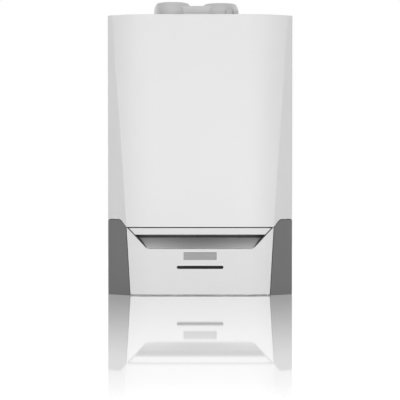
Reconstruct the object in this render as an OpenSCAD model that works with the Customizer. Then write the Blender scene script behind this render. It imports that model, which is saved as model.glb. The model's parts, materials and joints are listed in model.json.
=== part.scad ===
/* [Casing] */
// Width across the side panels
case_w = 500; // [480:5:560]
// Height of the casing without the flue adapter
case_h = 755; // [735:5:820]
// Depth from the wall to the middle of the front
case_d = 500; // [490:5:560]
// Sheet thickness of the painted panels
sheet = 1.5; // [1:0.1:2]
// Width of the flat middle of the front
front_flat = 250; // [220:5:280]
// How far the front curves back at the side edges
front_bow = 34; // [26:1:38]
// Angle of the corner facets seen from above
facet_angle = 38.7; // [37:0.1:42]
// Lean of the corner facets seen from the side
facet_lean = 1.7; // [1.4:0.1:2]
// Depth of the facet's outer edge at the top
facet_top = 35.5; // [34:0.5:40]
// Depth of the front cover's sides
cover_d = 90; // [84:1:96]
// Gap between neighbouring outer panels
seam = 1.5; // [1:0.1:2]
// Thickness of the front seal
seal_t = 2; // [1.5:0.1:3]
// Space between the back plate and the wall
wall_gap = 20; // [18:1:30]

/* [Skirt] */
// Height of the joint under the front cover
skirt_h = 184; // [183:1:190]
// Height of the corner posts at the side edges
post_h = 205; // [203:1:212]
// Distance from the side edge to the post's sloping shoulder
post_shoulder = 35; // [32:1:38]
// Wall thickness of the corner posts
post_wall = 3; // [2.5:0.5:4]
// Radius of the posts' shoulder
post_round = 12; // [8:1:16]
// Height of the bottom tray's underside
tray_z = 188; // [186:1:194]

/* [Lower door] */
// Thickness of the door panel
door_t = 3; // [2.5:0.1:3.5]
// Gap under the door panel
door_foot = 3; // [3:0.5:5]
// Depth of the door's hinge line behind the front
hinge_d = 8; // [7.5:0.5:9]
// Height of the door's hinge line
hinge_z = 14; // [13.5:0.5:15]
// Radius of the hinge pins
hinge_pin_r = 2.5; // [2:0.1:3]
// Distance of the hinge pins' middle from the centre line
hinge_x = 124; // [110:1:130]
// Running clearance of pins and shafts
run_gap = 0.05; // [0.02:0.01:0.09]
// Width of the grip recess along its lower edge
recess_w = 285; // [260:5:300]
// Height of the grip recess's lower edge
recess_z = 125; // [124:1:130]
// Corner radius of the grip recess
recess_r = 14; // [8:1:16]
// Depth of the grip tray
recess_d = 50; // [45:1:52]
// Height of the white strip over the grip
trim_h = 18; // [15:1:18]
// Length of the dark slot in the door
slot_w = 123; // [100:1:140]
// Height of the dark slot
slot_h = 7; // [5:0.5:9]
// Height of the slot's middle
slot_z = 75; // [70:1:80]
// Width of the blank badge plate
badge_w = 89; // [70:1:100]
// Height of the blank badge plate
badge_h = 21; // [16:1:24]
// Height of the badge plate's middle
badge_z = 106; // [102:1:108]

/* [Control box] */
// Distance of the control box's sides from the casing's sides
box_inset = 85; // [80:1:95]
// Depth of the fascia behind the front
fascia_d = 58; // [57:1:62]
// Depth of the control box behind the fascia
box_d = 130; // [110:1:135]
// Height of the fascia's top edge
box_top = 150; // [145:1:152]
// Height of the box's rear top edge
box_rear_top = 100; // [90:1:105]
// Height of the box's underside
box_z = 24; // [23:1:26]
// Wall thickness of the control box
box_wall = 2.5; // [2:0.1:3]
// Travel of the keys
key_travel = 1.5; // [1:0.1:2]
// Pitch of the keys
key_pitch = 28; // [24:1:32]

/* [Flue adapter] */
// Bore radius of the two sockets
socket_r = 40.3; // [38:0.1:42]
// Outer radius of the two sockets
collar_r = 53; // [51:0.5:55]
// Height of the flue socket over the casing
flue_h = 60; // [58:1:75]
// Height of the air socket over the casing
air_h = 57; // [56:1:70]
// Height of the web between the sockets
web_h = 49; // [40:1:54]
// Sideways place of the flue socket
flue_x = -78; // [-82:1:-74]
// Sideways place of the air socket
air_x = 57; // [52:1:62]

/* [Heat exchanger] */
// How much less the drum's radius is than half the casing's width
drum_inset = 115; // [110:1:125]
// Space between the drum and the wall
drum_gap = 66; // [60:1:80]
// Depth of the drum's front flange
drum_d = 174; // [172:1:178]
// Sideways place of the drum
drum_x = -40; // [-44:1:-36]
// Height of the drum's middle
drum_z = 430; // [420:5:440]
// Wall thickness of the drum
drum_wall = 3; // [2:0.5:5]

/* [Fan] */
// Distance of the fan's axis from the casing's side
fan_inset = 125; // [122:1:128]
// Height of the fan
fan_z = 300; // [296:1:304]
// Radius of the fan housing
fan_r = 78; // [74:1:80]
// Depth of the fan housing's front wall
fan_d = 100; // [98:1:102]
// Length of the fan housing
fan_l = 55; // [50:1:56]
// Number of impeller blades
blades = 14; // [8:1:20]

/* [Pipes] */
// Radius of the flow and return pipes
water_r = 20.95; // [16:0.05:21.5]
// Radius of the gas pipe's end fitting
gas_r = 13.2; // [10:0.1:14]
// Radius of the condensate outlet
drain_r = 12.5; // [10:0.5:13]
// Height of the pipes' lower ends over the base
pipe_end = 15; // [10:1:30]
// Distance of the flow and return pipes from the wall
pipe_gap = 110; // [100:5:120]
// Spacing of the wall bracket's holes
bracket_holes = 350; // [300:10:400]
// Radius of the wall bracket's holes
bracket_hole_r = 5.5; // [4:0.5:7]

/* [Hidden] */

$fn = 96;
BIG = 1200;
FIT = 0.3;

half_w = case_w / 2;
bow_x = front_flat / 2;
bow_run = half_w - bow_x;
bow_r = (pow(bow_run, 2) + pow(front_bow, 2)) / (2 * front_bow);
frame_d = cover_d + seal_t;
back_d = case_d - wall_gap;
pipe_d = case_d - pipe_gap;
box_w = case_w - 2 * box_inset;
drum_r = half_w - drum_inset;
drum_back = case_d - drum_gap;
drum_front = drum_d + 6;
fan_x = half_w - fan_inset;
flange_w = 22;
post_top = post_h - seam;

// Depth of the facet's outer edge at a height
function facet_edge(z) = facet_top + (case_h - z) * tan(facet_lean);

// Sideways place of the crease between the front and its corner facet at a height
function crease_x(z) =
    let (t = tan(facet_angle), c = facet_edge(z) - t * bow_run - bow_r)
    let (root = sqrt(pow(t * c, 2) - (1 + t * t) * (c * c - bow_r * bow_r)))
    bow_x + (-t * c - root) / (1 + t * t);

skirt_x = crease_x(skirt_h);
shoulder_x = half_w - post_shoulder;
shoulder_angle = atan2(post_h - skirt_h, shoulder_x - skirt_x);

// Shifts the origin from the middle of the casing to the middle of its front
module front() {
    translate([0, -case_d / 2, 0]) children();
}

module block(x, d, z) {
    translate([x[0], d[0], z[0]]) cube([x[1] - x[0], d[1] - d[0], z[1] - z[0]]);
}

module rod_x(d, z, x, r) {
    translate([x[0], d, z]) rotate([0, 90, 0]) cylinder(h = x[1] - x[0], r = r);
}

module rod_y(x, z, d, r) {
    translate([x, d[0], z]) rotate([-90, 0, 0]) cylinder(h = d[1] - d[0], r = r);
}

module rod_z(x, d, z, r) {
    translate([x, d, z[0]]) cylinder(h = z[1] - z[0], r = r);
}

// Extrudes a front view outline through a stretch of depth
module through(d) {
    translate([0, d[1], 0]) rotate([90, 0, 0]) linear_extrude(d[1] - d[0]) children();
}

// Extrudes a side view outline, drawn as depth and height, through a stretch of width
module across(x) {
    translate([x[0], 0, 0]) rotate([90, 0, 90]) linear_extrude(x[1] - x[0]) children();
}

module both_sides() {
    children();
    mirror([1, 0, 0]) children();
}

// Straight round run between two points, with a slightly thicker ball at its end
module run(from, to, r) {
    v = to - from;
    l = norm(v);
    translate(from) rotate([0, acos(v.z / l), atan2(v.y, v.x)]) cylinder(h = l, r = r);
    translate(to) sphere(r = r + 0.3);
}

// Round line through a list of points
module bent_line(points, r) {
    for (i = [0 : len(points) - 2]) run(points[i], points[i + 1], r);
}

// Plan of the casing's front, set in by a wall
module front_plan(inset, depth) {
    intersection() {
        translate([-half_w + inset, 0]) square([case_w - 2 * inset, depth]);
        union() {
            translate([-bow_x, inset]) square([front_flat, depth]);
            translate([bow_x, bow_r]) circle(r = bow_r - inset, $fn = 240);
            translate([-bow_x, bow_r]) circle(r = bow_r - inset, $fn = 240);
        }
    }
}

// Everything in front of the corner facet on the right, set in by a wall
module facet_cut(inset) {
    lean = asin(tan(facet_lean) * cos(facet_angle));
    translate([half_w, facet_edge(0), 0])
        rotate([lean, 0, facet_angle])
            translate([-BIG, inset - 2 * BIG, -BIG]) cube(2 * BIG);
}

// Solid form of the casing's front, with its bow and corner facets
module front_form(inset, depth, z) {
    difference() {
        translate([0, 0, z[0]]) linear_extrude(z[1] - z[0]) front_plan(inset, depth);
        both_sides() facet_cut(inset);
    }
}

// Points that round the corner b between its neighbours a and c
function round_corner(a, b, c, r) =
    let (u = (a - b) / norm(a - b), v = (c - b) / norm(c - b))
    let (half = acos(u * v) / 2, mid = (u + v) / norm(u + v))
    let (middle = b + mid * r / sin(half), turn = (90 - half) * sign(cross(mid, u)))
    [for (i = [-3 : 3])
        let (w = turn * i / 3)
        middle - r * [mid.x * cos(w) - mid.y * sin(w), mid.x * sin(w) + mid.y * cos(w)]];

// Outline of the front cover in front view, set in by a wall
module cover_outline(inset) {
    back_off = inset * tan(shoulder_angle / 2);
    side = half_w - inset;
    outer = [side, post_h + inset];
    shoulder = [shoulder_x - back_off, post_h + inset];
    foot = [skirt_x - back_off, skirt_h + inset];
    right = concat(
        [[side, case_h - inset], outer],
        round_corner(outer, shoulder, foot, post_round + inset),
        [foot]
    );
    left = [for (i = [len(right) - 1 : -1 : 0]) [-right[i].x, right[i].y]];
    polygon(concat(right, left));
}

module front_cover() {
    cover_lip = 12;
    color("white") front() difference() {
        intersection() {
            front_form(0, cover_d, [0, case_h]);
            through([0, cover_d]) cover_outline(0);
        }
        intersection() {
            front_form(sheet, cover_d - sheet, [0, case_h]);
            through([0, cover_d - sheet]) cover_outline(sheet);
        }
        intersection() {
            front_form(cover_lip, cover_d + 1, [0, case_h]);
            through([0, cover_d + 1]) cover_outline(cover_lip);
        }
        for (side = [-1, 1]) {
            rod_z(side * turn_x, turn_d, [skirt_h - 1, skirt_h + sheet + 1], turn_shank_r + run_gap);
        }
    }
}

// Half width of the grip recess at a height
function recess_x(z) = recess_w / 2 + (z - recess_z) * (skirt_x - recess_w / 2) / (skirt_h - recess_z);

// Front view of the recess between two heights, wider or narrower on each side
module recess_outline(z, grow) {
    polygon([
        [-recess_x(z[0]) - grow, z[0]],
        [recess_x(z[0]) + grow, z[0]],
        [recess_x(z[1]) + grow, z[1]],
        [-recess_x(z[1]) - grow, z[1]]
    ]);
}

// Front view of the whole recess, with its lower corners rounded
module recess_cut() {
    edge = recess_w / 2;
    lean = atan2(skirt_x - edge, skirt_h - recess_z);
    reach = recess_r * tan((90 - lean) / 2);
    difference() {
        recess_outline([recess_z, skirt_h], 0);
        both_sides() difference() {
            polygon([
                [edge - reach, recess_z],
                [edge, recess_z],
                [edge + reach * sin(lean), recess_z + reach * cos(lean)],
                [edge - reach, recess_z + recess_r]
            ]);
            translate([edge - reach, recess_z + recess_r]) circle(r = recess_r);
        }
    }
}

// White strip under the cover's lower edge, over the grip
strip_top = skirt_h - seam;
strip_t = 3;
strip_set_back = 2;
strip_end_gap = 4;
strip_fix_x = 120;
strip_fix_d = [16, 24];
module cover_grip_strip() {
    strip_z = strip_top - trim_h;
    color("white") front() {
        intersection() {
            through([0, 40]) recess_outline([strip_z, strip_top], -strip_end_gap);
            difference() {
                front_form(strip_set_back, 40, [strip_z, strip_top]);
                front_form(strip_set_back + strip_t, 40, [strip_z - 1, strip_top + 1]);
            }
        }
        block([-strip_fix_x, strip_fix_x], [strip_set_back, strip_fix_d[1]],
            [strip_top - strip_t, strip_top]);
        block([-strip_fix_x, strip_fix_x], strip_fix_d, [strip_top - strip_t, skirt_h]);
    }
}

turn_x = 150;
turn_d = 70;
turn_shank_r = 3.5;
turn_head_r = 9;
turn_tab_t = 1.5;
turn_tab_z = skirt_h - 2 * turn_tab_t;
module quarter_turn(side) {
    head_h = 5;
    head_top = turn_tab_z - 0.5;
    ring_z = skirt_h + sheet + FIT;
    color("silver") front() difference() {
        union() {
            rod_z(side * turn_x, turn_d, [head_top, ring_z + 2], turn_shank_r);
            rod_z(side * turn_x, turn_d, [head_top - head_h, head_top], turn_head_r);
            rod_z(side * turn_x, turn_d, [ring_z, ring_z + 2], turn_shank_r + 3);
        }
        translate([side * turn_x, turn_d, head_top - head_h])
            cube([2 * turn_head_r - 4, 2, 3], center = true);
    }
}

module quarter_turn_left() {
    quarter_turn(-1);
}

module quarter_turn_right() {
    quarter_turn(1);
}

module front_seal() {
    seal_w = 14;
    low = skirt_h;
    high = case_h - 1;
    color("dimgray") front() difference() {
        block([-half_w + 1, half_w - 1], [cover_d + 0.2, frame_d], [low, high]);
        block([-half_w + 1 + seal_w, half_w - 1 - seal_w], [0, case_d], [low + seal_w, high - seal_w]);
    }
}

// Folded side panel: its skin and the flanges at the front, foot and rear
module side_panel() {
    foot_w = 12;
    top = case_h - sheet;
    inner = half_w - flange_w;
    color("white") front() {
        block([half_w - sheet, half_w], [frame_d, back_d], [0, top]);
        block([inner, half_w], [frame_d, frame_d + sheet], [0, top]);
        block([half_w - foot_w, half_w], [frame_d, back_d - sheet], [0, sheet]);
        block([inner, half_w], [back_d - 2 * sheet, back_d - sheet], [0, top]);
    }
}

module side_panel_left() {
    mirror([1, 0, 0]) side_panel();
}

module side_panel_right() {
    side_panel();
}

module top_panel() {
    lip = 20;
    color("white") front() difference() {
        union() {
            block([-half_w, half_w], [frame_d, back_d], [case_h - sheet, case_h]);
            block([-half_w + flange_w + FIT, half_w - flange_w - FIT], [frame_d, frame_d + sheet],
                [case_h - lip, case_h]);
        }
        for (x = [flue_x, air_x]) rod_z(x, case_d / 2, [case_h - 5, case_h + 5], spigot_r + FIT);
    }
}

tray_hole_gap = 3;
loom_x = -half_w + 25;
loom_d = 130;
loom_r = 5;
flow_x = half_w - 120;
return_x = -half_w + 42;
gas_x = half_w - 50;
gas_d = 195;
gas_tube_r = 11;
siphon_x = drum_x;
siphon_d = drum_front + 120;
siphon_r = 27;
// Place and radius of every line that passes the bottom tray
LINES = [
    [flow_x, pipe_d, water_r],
    [return_x, pipe_d, water_r],
    [gas_x, gas_d, gas_tube_r],
    [siphon_x, siphon_d, siphon_r],
    [loom_x, loom_d, loom_r]
];

module bottom_tray() {
    lip = 25;
    wide = half_w - sheet - FIT;
    narrow = half_w - flange_w - FIT;
    rear = back_d - 2 * sheet - FIT;
    color("lightgray") front() difference() {
        union() {
            block([-wide, wide], [frame_d + sheet, rear], [tray_z, tray_z + sheet]);
            block([-narrow, narrow], [frame_d, frame_d + sheet], [turn_tab_z, tray_z + lip]);
            both_sides() {
                block([wide - sheet, wide], [frame_d + sheet, rear], [tray_z, tray_z + lip]);
                block([turn_x - 14, turn_x + 14], [turn_d - 12, frame_d + sheet],
                    [turn_tab_z, turn_tab_z + turn_tab_t]);
            }
        }
        for (line = LINES) rod_z(line.x, line.y, [tray_z - 5, tray_z + 5], line.z + tray_hole_gap);
        both_sides() {
            block([turn_x - turn_shank_r - 0.5, turn_x + turn_shank_r + 0.5], [turn_d - 13, turn_d],
                [turn_tab_z - 1, skirt_h]);
            rod_z(turn_x, turn_d, [turn_tab_z - 1, skirt_h], turn_shank_r + 0.5);
        }
    }
}

bracket_z = case_h - 95;
module back_plate() {
    low = 60;
    wide = half_w - sheet - FIT;
    color("lightgray") front() difference() {
        block([-wide, wide], [back_d - sheet, back_d], [low, case_h - sheet]);
        for (p = plate_screws) rod_y(p.x, p.y, [back_d - 5, back_d + 1], screw_r + 0.2);
    }
}

rail_t = 2.5;
hook_d = back_d + wall_gap - rail_t - 4;
module hanging_rail() {
    wide = 200;
    color("silver") front() {
        block([-wide, wide], [back_d, back_d + rail_t], [bracket_z + 5, bracket_z + 45]);
        block([-wide, wide], [back_d, hook_d], [bracket_z + 5, bracket_z + 5 + rail_t]);
        block([-wide, wide], [hook_d - rail_t, hook_d], [bracket_z - 15, bracket_z + 5 + rail_t]);
    }
}

module wall_bracket() {
    wide = bracket_holes / 2 + 25;
    plate = [case_d - rail_t, case_d];
    step_d = hook_d - 2 * rail_t - FIT;
    color("silver") front() difference() {
        union() {
            block([-wide, wide], plate, [bracket_z - 70, bracket_z - 20]);
            block([-wide, wide], [step_d, case_d], [bracket_z - 20 - rail_t, bracket_z - 20]);
            block([-wide, wide], [step_d, step_d + rail_t], [bracket_z - 20, bracket_z + 5]);
        }
        for (side = [-1, 1]) {
            rod_y(side * bracket_holes / 2, bracket_z - 48, [case_d - 10, case_d + 5], bracket_hole_r);
        }
    }
}

// Front view of a corner post, set in by a wall
module post_outline(inset) {
    low = inset;
    back_off = inset * tan(shoulder_angle / 2);
    top_shift = seam * tan(shoulder_angle / 2);
    edge_top = skirt_h - seam;
    outer = [half_w - inset, post_top - inset];
    shoulder = [shoulder_x + top_shift + back_off, post_top - inset];
    foot = [crease_x(edge_top) + seam / 2 + inset, edge_top + seam / 2 - inset];
    polygon(concat(
        [[crease_x(0) + seam / 2 + inset, low], [half_w - inset, low], outer],
        round_corner(outer, shoulder, foot, post_round - seam - inset),
        [foot]
    ));
}

module corner_post() {
    lug = [half_w - flange_w + 4, half_w - 6];
    color("gray") front() {
        difference() {
            intersection() {
                front_form(0, cover_d, [0, post_h]);
                through([0, cover_d]) post_outline(0);
            }
            intersection() {
                front_form(post_wall, cover_d + 1, [0, post_h]);
                through([0, cover_d + 1]) post_outline(post_wall);
            }
        }
        for (z = [0, post_h / 2]) {
            block([lug[0], half_w - 1], [cover_d - 20, frame_d], [z, z + post_wall]);
            block([lug[0], lug[1]], [frame_d - post_wall, frame_d], [z, z + 24]);
        }
    }
}

module corner_post_left() {
    mirror([1, 0, 0]) corner_post();
}

module corner_post_right() {
    corner_post();
}

ear_r = 4.5;
ear_t = 3;
arm_x = [hinge_x + 2.5, hinge_x + 2.5 + ear_t];
// Hinge arm: a round eye on the hinge line and an arm that runs back from it
module hinge_arm(x, back, hole_r) {
    difference() {
        union() {
            rod_x(hinge_d, hinge_z, x, ear_r);
            block(x, [hinge_d, back], [hinge_z - ear_r, hinge_z + ear_r]);
        }
        rod_x(hinge_d, hinge_z, [x[0] - 1, x[1] + 1], hole_r);
    }
}

module hinge_rail() {
    wide = half_w - sheet - FIT;
    rail_front = frame_d + sheet + FIT;
    rail_back = rail_front + 26;
    color("silver") front() {
        block([-wide, wide], [rail_front, rail_back], [sheet, 2 * sheet]);
        block([-wide, wide], [rail_front, rail_front + sheet], [sheet, hinge_z]);
        both_sides() {
            hinge_arm(arm_x, rail_front + sheet, hinge_pin_r);
        }
    }
}

module hinge_pins() {
    color("silver") front() both_sides() {
        rod_x(hinge_d, hinge_z, [hinge_x - 8, arm_x[1]], hinge_pin_r);
        rod_x(hinge_d, hinge_z, [arm_x[1], arm_x[1] + 2], hinge_pin_r + 1.5);
    }
}

// Front view of the lower door without its recess
module door_outline() {
    top = skirt_h - seam;
    low_x = crease_x(0) - seam / 2;
    top_x = crease_x(top) - seam / 2;
    polygon([[-low_x, door_foot], [low_x, door_foot], [top_x, top], [-top_x, top]]);
}

// Dark slot: a bar with chamfered ends
module slot_outline(grow) {
    long = slot_w / 2 + grow;
    high = slot_h / 2 + grow;
    polygon([
        [-long, slot_z + high], [-long + slot_h, slot_z - high],
        [long - slot_h, slot_z - high], [long, slot_z + high]
    ]);
}

module lower_door() {
    ear = [hinge_x - 6, hinge_x - 2];
    color("white") front() {
        difference() {
            intersection() {
                front_form(0, 40, [0, skirt_h]);
                through([0, 40]) door_outline();
            }
            front_form(door_t, 41, [-1, skirt_h + 1]);
            through([-1, 40]) recess_cut();
            through([-1, 40]) slot_outline(FIT / 2);
            badge_block(0.1, -1);
        }
        both_sides() difference() {
            union() {
                rod_x(hinge_d, hinge_z, ear, ear_r);
                block(ear, [door_t - 0.5, hinge_d], [hinge_z - ear_r, hinge_z + ear_r]);
            }
            rod_x(hinge_d, hinge_z, [ear[0] - 1, ear[1] + 1], hinge_pin_r + run_gap);
        }
    }
}

grip_arc_r = 109;
grip_arc_d = -28;
grip_arc_z = recess_z + 106;
tray_wall = 2.5;
tray_top = recess_z + 28;
// Side view of the scoop behind the recess: the inside of its curved floor
module scoop_side(r) {
    intersection() {
        translate([grip_arc_d, grip_arc_z]) circle(r = r, $fn = 240);
        translate([door_t, recess_z - 8]) square([recess_d - door_t, tray_top - recess_z + 8]);
    }
}

module grip_tray() {
    wide = skirt_x;
    low = recess_z - 7;
    color("gray") front() intersection() {
        through([0, recess_d + 1]) recess_outline([low, tray_top], tray_wall);
        front_form(door_t + 0.1, recess_d + 1, [low - 1, tray_top + 1]);
        difference() {
            across([-wide, wide]) scoop_side(grip_arc_r + tray_wall);
            intersection() {
                across([-wide, wide]) scoop_side(grip_arc_r);
                through([-1, recess_d + 2]) recess_outline([low - 1, tray_top + 1], 0);
            }
        }
    }
}

module slot_lens() {
    color("black") front() {
        through([1, door_t]) slot_outline(-FIT / 2);
        through([door_t, door_t + 1.5]) slot_outline(3);
    }
}

badge_t = 0.8;
// Badge plate's own block, or its pocket where it is wider by a gap and starts in front
module badge_block(gap, start) {
    block([-badge_w / 2 - gap, badge_w / 2 + gap], [start, badge_t],
        [badge_z - badge_h / 2 - gap, badge_z + badge_h / 2 + gap]);
}

module badge_plate() {
    color("lightgray") front() badge_block(0, 0);
}

catch_x = 110;
module door_catches() {
    color("dimgray") front() both_sides() {
        block([catch_x - 12, catch_x + 12], [recess_d + FIT, fascia_d], [tray_top - 14, tray_top - 4]);
    }
}

housing_d = fascia_d + 3;
housing_back = fascia_d + box_d;
// Side view of the control housing, set in by a wall
module housing_side(inset) {
    slope = (box_top - box_rear_top) / (housing_back - housing_d);
    front_d = housing_d - (inset > 0 ? 1 : 0);
    roof = inset / cos(atan(slope));
    polygon([
        [front_d, box_z + inset],
        [housing_back - inset, box_z + inset],
        [housing_back - inset, box_rear_top - roof + slope * inset],
        [front_d, box_top - roof + (inset > 0 ? slope : 0)]
    ]);
}

gland_d = fascia_d + 92;
gland_xs = [-120, -88, -56, -24];
gland_hole_r = 7;
module control_housing() {
    color("whitesmoke") front() {
        difference() {
            across([-box_w / 2, box_w / 2]) housing_side(0);
            across([-box_w / 2 + box_wall, box_w / 2 - box_wall]) housing_side(box_wall);
            for (x = gland_xs) rod_z(x, gland_d, [box_z - 1, box_z + 5], gland_hole_r + run_gap);
        }
        both_sides() {
            arm = [hinge_x - 1, hinge_x + ear_t - 1];
            hinge_arm(arm, housing_d + 20, hinge_pin_r + run_gap);
            block(arm, [housing_d, housing_d + 20], [hinge_z - ear_r, box_z + 0.5]);
        }
    }
}

display_w = 88;
display_h = 36;
display_x = -box_w / 2 + 56;
key_w = 18;
key_h = 10;
key_z = 82;
key_x0 = display_x + 70;
switch_x = box_w / 2 - 35;
switch_d = fascia_d + 6;
switch_r = 10;
switch_w = 14;
board_d = fascia_d + 12;
board_t = 1.6;
fascia_mid = (box_top + box_z) / 2;
function key_x(i) = key_x0 + i * key_pitch;

module control_fascia() {
    low = box_z + 3;
    side = box_w / 2;
    color("lightgray") front() {
        difference() {
            block([-side, side], [fascia_d, housing_d], [low, box_top]);
            block([display_x - display_w / 2 - 0.2, display_x + display_w / 2 + 0.2],
                [0, case_d], [fascia_mid - display_h / 2 - 0.2, fascia_mid + display_h / 2 + 0.2]);
            for (i = [0 : 3]) {
                block([key_x(i) - key_w / 2 - FIT, key_x(i) + key_w / 2 + FIT], [0, case_d],
                    [key_z - key_h / 2 - FIT, key_z + key_h / 2 + FIT]);
            }
            block([switch_x - switch_w / 2 - FIT, switch_x + switch_w / 2 + FIT], [0, case_d],
                [key_z - switch_r - FIT, key_z + switch_r + FIT]);
        }
        for (x = [-side + 30, side - 60], z = [low + 12, box_top - 14]) {
            rod_y(x, z, [housing_d, board_d], 3);
        }
        for (side = [-1, 1]) difference() {
            cheek = switch_x + side * (switch_w / 2 + FIT + 1.5);
            block([cheek - 1.5, cheek + 1.5], [housing_d - 0.5, switch_d + 5], [key_z - 6, key_z + 6]);
            rod_x(switch_d, key_z, [cheek - 3, cheek + 3], 2 + run_gap);
        }
    }
}

module display_window() {
    color("darkslategray") front() {
        block([display_x - display_w / 2, display_x + display_w / 2], [fascia_d - 0.4, housing_d],
            [fascia_mid - display_h / 2, fascia_mid + display_h / 2]);
    }
}

key_proud = 3;
module key(i) {
    stem_end = board_d - 3.5;
    color("dimgray") front() {
        block([key_x(i) - key_w / 2, key_x(i) + key_w / 2], [fascia_d - key_proud, housing_d + 1],
            [key_z - key_h / 2, key_z + key_h / 2]);
        rod_y(key_x(i), key_z, [housing_d, stem_end], 2.5);
        block([key_x(i) - key_w / 2 - 1.5, key_x(i) + key_w / 2 + 1.5], [housing_d + 0.2, housing_d + 1.2],
            [key_z - key_h / 2 - 1.5, key_z + key_h / 2 + 1.5]);
    }
}

module key_menu() {
    key(0);
}

module key_minus() {
    key(1);
}

module key_plus() {
    key(2);
}

module key_reset() {
    key(3);
}

module power_switch() {
    half = switch_w / 2;
    color("black") front() {
        difference() {
            rod_x(switch_d, key_z, [switch_x - half, switch_x + half], switch_r);
            rod_x(switch_d - switch_r - 18, key_z, [switch_x - half - 1, switch_x + half + 1], 20);
            block([switch_x - half - 1, switch_x + half + 1], [switch_d + 3, switch_d + 20],
                [key_z - 20, key_z + 20]);
        }
        rod_x(switch_d, key_z, [switch_x - half - 3, switch_x + half + 3], 2);
    }
}

module control_board() {
    low = box_z + 9;
    color("seagreen") front() {
        block([display_x - 40, switch_x - 18], [board_d, board_d + board_t], [low, box_top - 8]);
        for (i = [0 : 3]) {
            rod_y(key_x(i), key_z, [board_d - 3.5 + key_travel + 0.1, board_d], 3.5);
        }
        block([-60, -20], [board_d + board_t, board_d + 14], [low + 12, low + 42]);
        block([0, 30], [board_d + board_t, board_d + 10], [low + 50, low + 70]);
        for (x = [50, 72, 94]) rod_y(x, low + 30, [board_d + board_t, board_d + 22], 8);
    }
}

module terminal_block() {
    floor_z = box_z + box_wall;
    color("gray") front() difference() {
        block([0, 132], [housing_d + 60, housing_d + 88], [floor_z, floor_z + 24]);
        for (i = [0 : 10]) rod_z(6 + 12 * i, housing_d + 66, [floor_z + 12, floor_z + 30], 3);
    }
}

gland_bore_r = 4.5;
module cable_glands() {
    color("dimgray") front() for (x = gland_xs) difference() {
        union() {
            rod_z(x, gland_d, [box_z - 12, box_z], 10);
            rod_z(x, gland_d, [box_z, box_z + box_wall + 5], gland_hole_r);
        }
        rod_z(x, gland_d, [box_z - 13, box_z + 20], gland_bore_r);
    }
}

socket_stop = 6;
relief_h = 2;
riser_r = socket_r - 2.3;
riser_hole_r = riser_r + FIT;
spigot_r = socket_r + 3;
spigot_l = 30;
adapter_foot = 4;
seal_seat_h = 6;
seal_seat_r = socket_r + 3.5;
shoulder_drop = 24;
shoulder_in = 8;
// Half section of a socket: straight wall with a rounded shoulder
module socket(h) {
    mouth_r = collar_r - shoulder_in;
    arc_r = (pow(shoulder_drop, 2) + pow(shoulder_in, 2)) / (2 * shoulder_in);
    rotate_extrude($fn = 128) {
        square([collar_r, h - shoulder_drop]);
        intersection() {
            translate([0, h - shoulder_drop]) square([collar_r, shoulder_drop]);
            translate([collar_r - arc_r, h - shoulder_drop]) circle(r = arc_r, $fn = 160);
        }
        square([mouth_r, h]);
    }
}

cap_z = case_h + 29;
// Radius, direction and depth along its ray of each sampling point
CAPS = [[10, -67, 0], [8, -45, 0]];
module on_ray(turn) {
    translate([air_x, case_d / 2, cap_z]) rotate([0, 90, turn]) children();
}

module flue_adapter() {
    mid = case_d / 2;
    color("silver") front() difference() {
        union() {
            translate([flue_x, mid, case_h]) socket(flue_h);
            translate([air_x, mid, case_h]) socket(air_h);
            block([flue_x, air_x], [mid - collar_r + 10, mid + collar_r - 10], [case_h, case_h + web_h]);
            for (x = [flue_x, air_x]) rod_z(x, mid, [case_h, case_h + adapter_foot], collar_r + 9);
            block([flue_x, air_x], [mid - collar_r - 9, mid + collar_r + 9],
                [case_h, case_h + adapter_foot]);
            for (x = [flue_x, air_x]) rod_z(x, mid, [case_h - spigot_l, case_h], spigot_r);
            for (cap = CAPS) on_ray(cap.y) cylinder(h = collar_r + 5, r = cap.x - 2);
        }
        for (x = [flue_x, air_x]) {
            rod_z(x, mid, [case_h - spigot_l - 1, case_h], riser_hole_r);
            rod_z(x, mid, [case_h - 1, case_h + socket_stop + 1], riser_r - 2.5);
            rod_z(x, mid, [case_h + socket_stop, case_h + socket_stop + relief_h], socket_r + 1);
            rod_z(x, mid, [case_h + socket_stop, case_h + flue_h + 1], socket_r);
        }
        rod_z(flue_x, mid, [case_h + flue_h - seal_seat_h, case_h + flue_h + 1], seal_seat_r);
        rod_z(air_x, mid, [case_h + air_h - seal_seat_h, case_h + air_h + 1], seal_seat_r);
        for (cap = CAPS) on_ray(cap.y) cylinder(h = collar_r + 6, r = cap.x - 5 + 0.1);
        for (p = adapter_screws) rod_z(p.x, p.y, [case_h, case_h + adapter_foot + 1], screw_r + 0.2);
    }
}

module flue_seals() {
    color("black") front() for (s = [[flue_x, flue_h], [air_x, air_h]]) difference() {
        rod_z(s.x, case_d / 2, [case_h + s.y - seal_seat_h, case_h + s.y - 0.5], seal_seat_r);
        rod_z(s.x, case_d / 2, [case_h + s.y - 10, case_h + s.y + 1], socket_r + 0.4);
    }
}

module sampling_caps() {
    color("silver") front() for (cap = CAPS) on_ray(cap.y) {
        translate([0, 0, collar_r + 5]) cylinder(h = 6, r = cap.x);
        translate([0, 0, collar_r - 2]) cylinder(h = 8, r = cap.x - 5);
    }
}

riser_seat = drum_z + drum_r + 4;
module flue_riser() {
    color("gainsboro") front() difference() {
        rod_z(flue_x, case_d / 2, [riser_seat, case_h - 5], riser_r);
        rod_z(flue_x, case_d / 2, [riser_seat - 1, case_h], riser_r - 2.5);
    }
}

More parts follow.
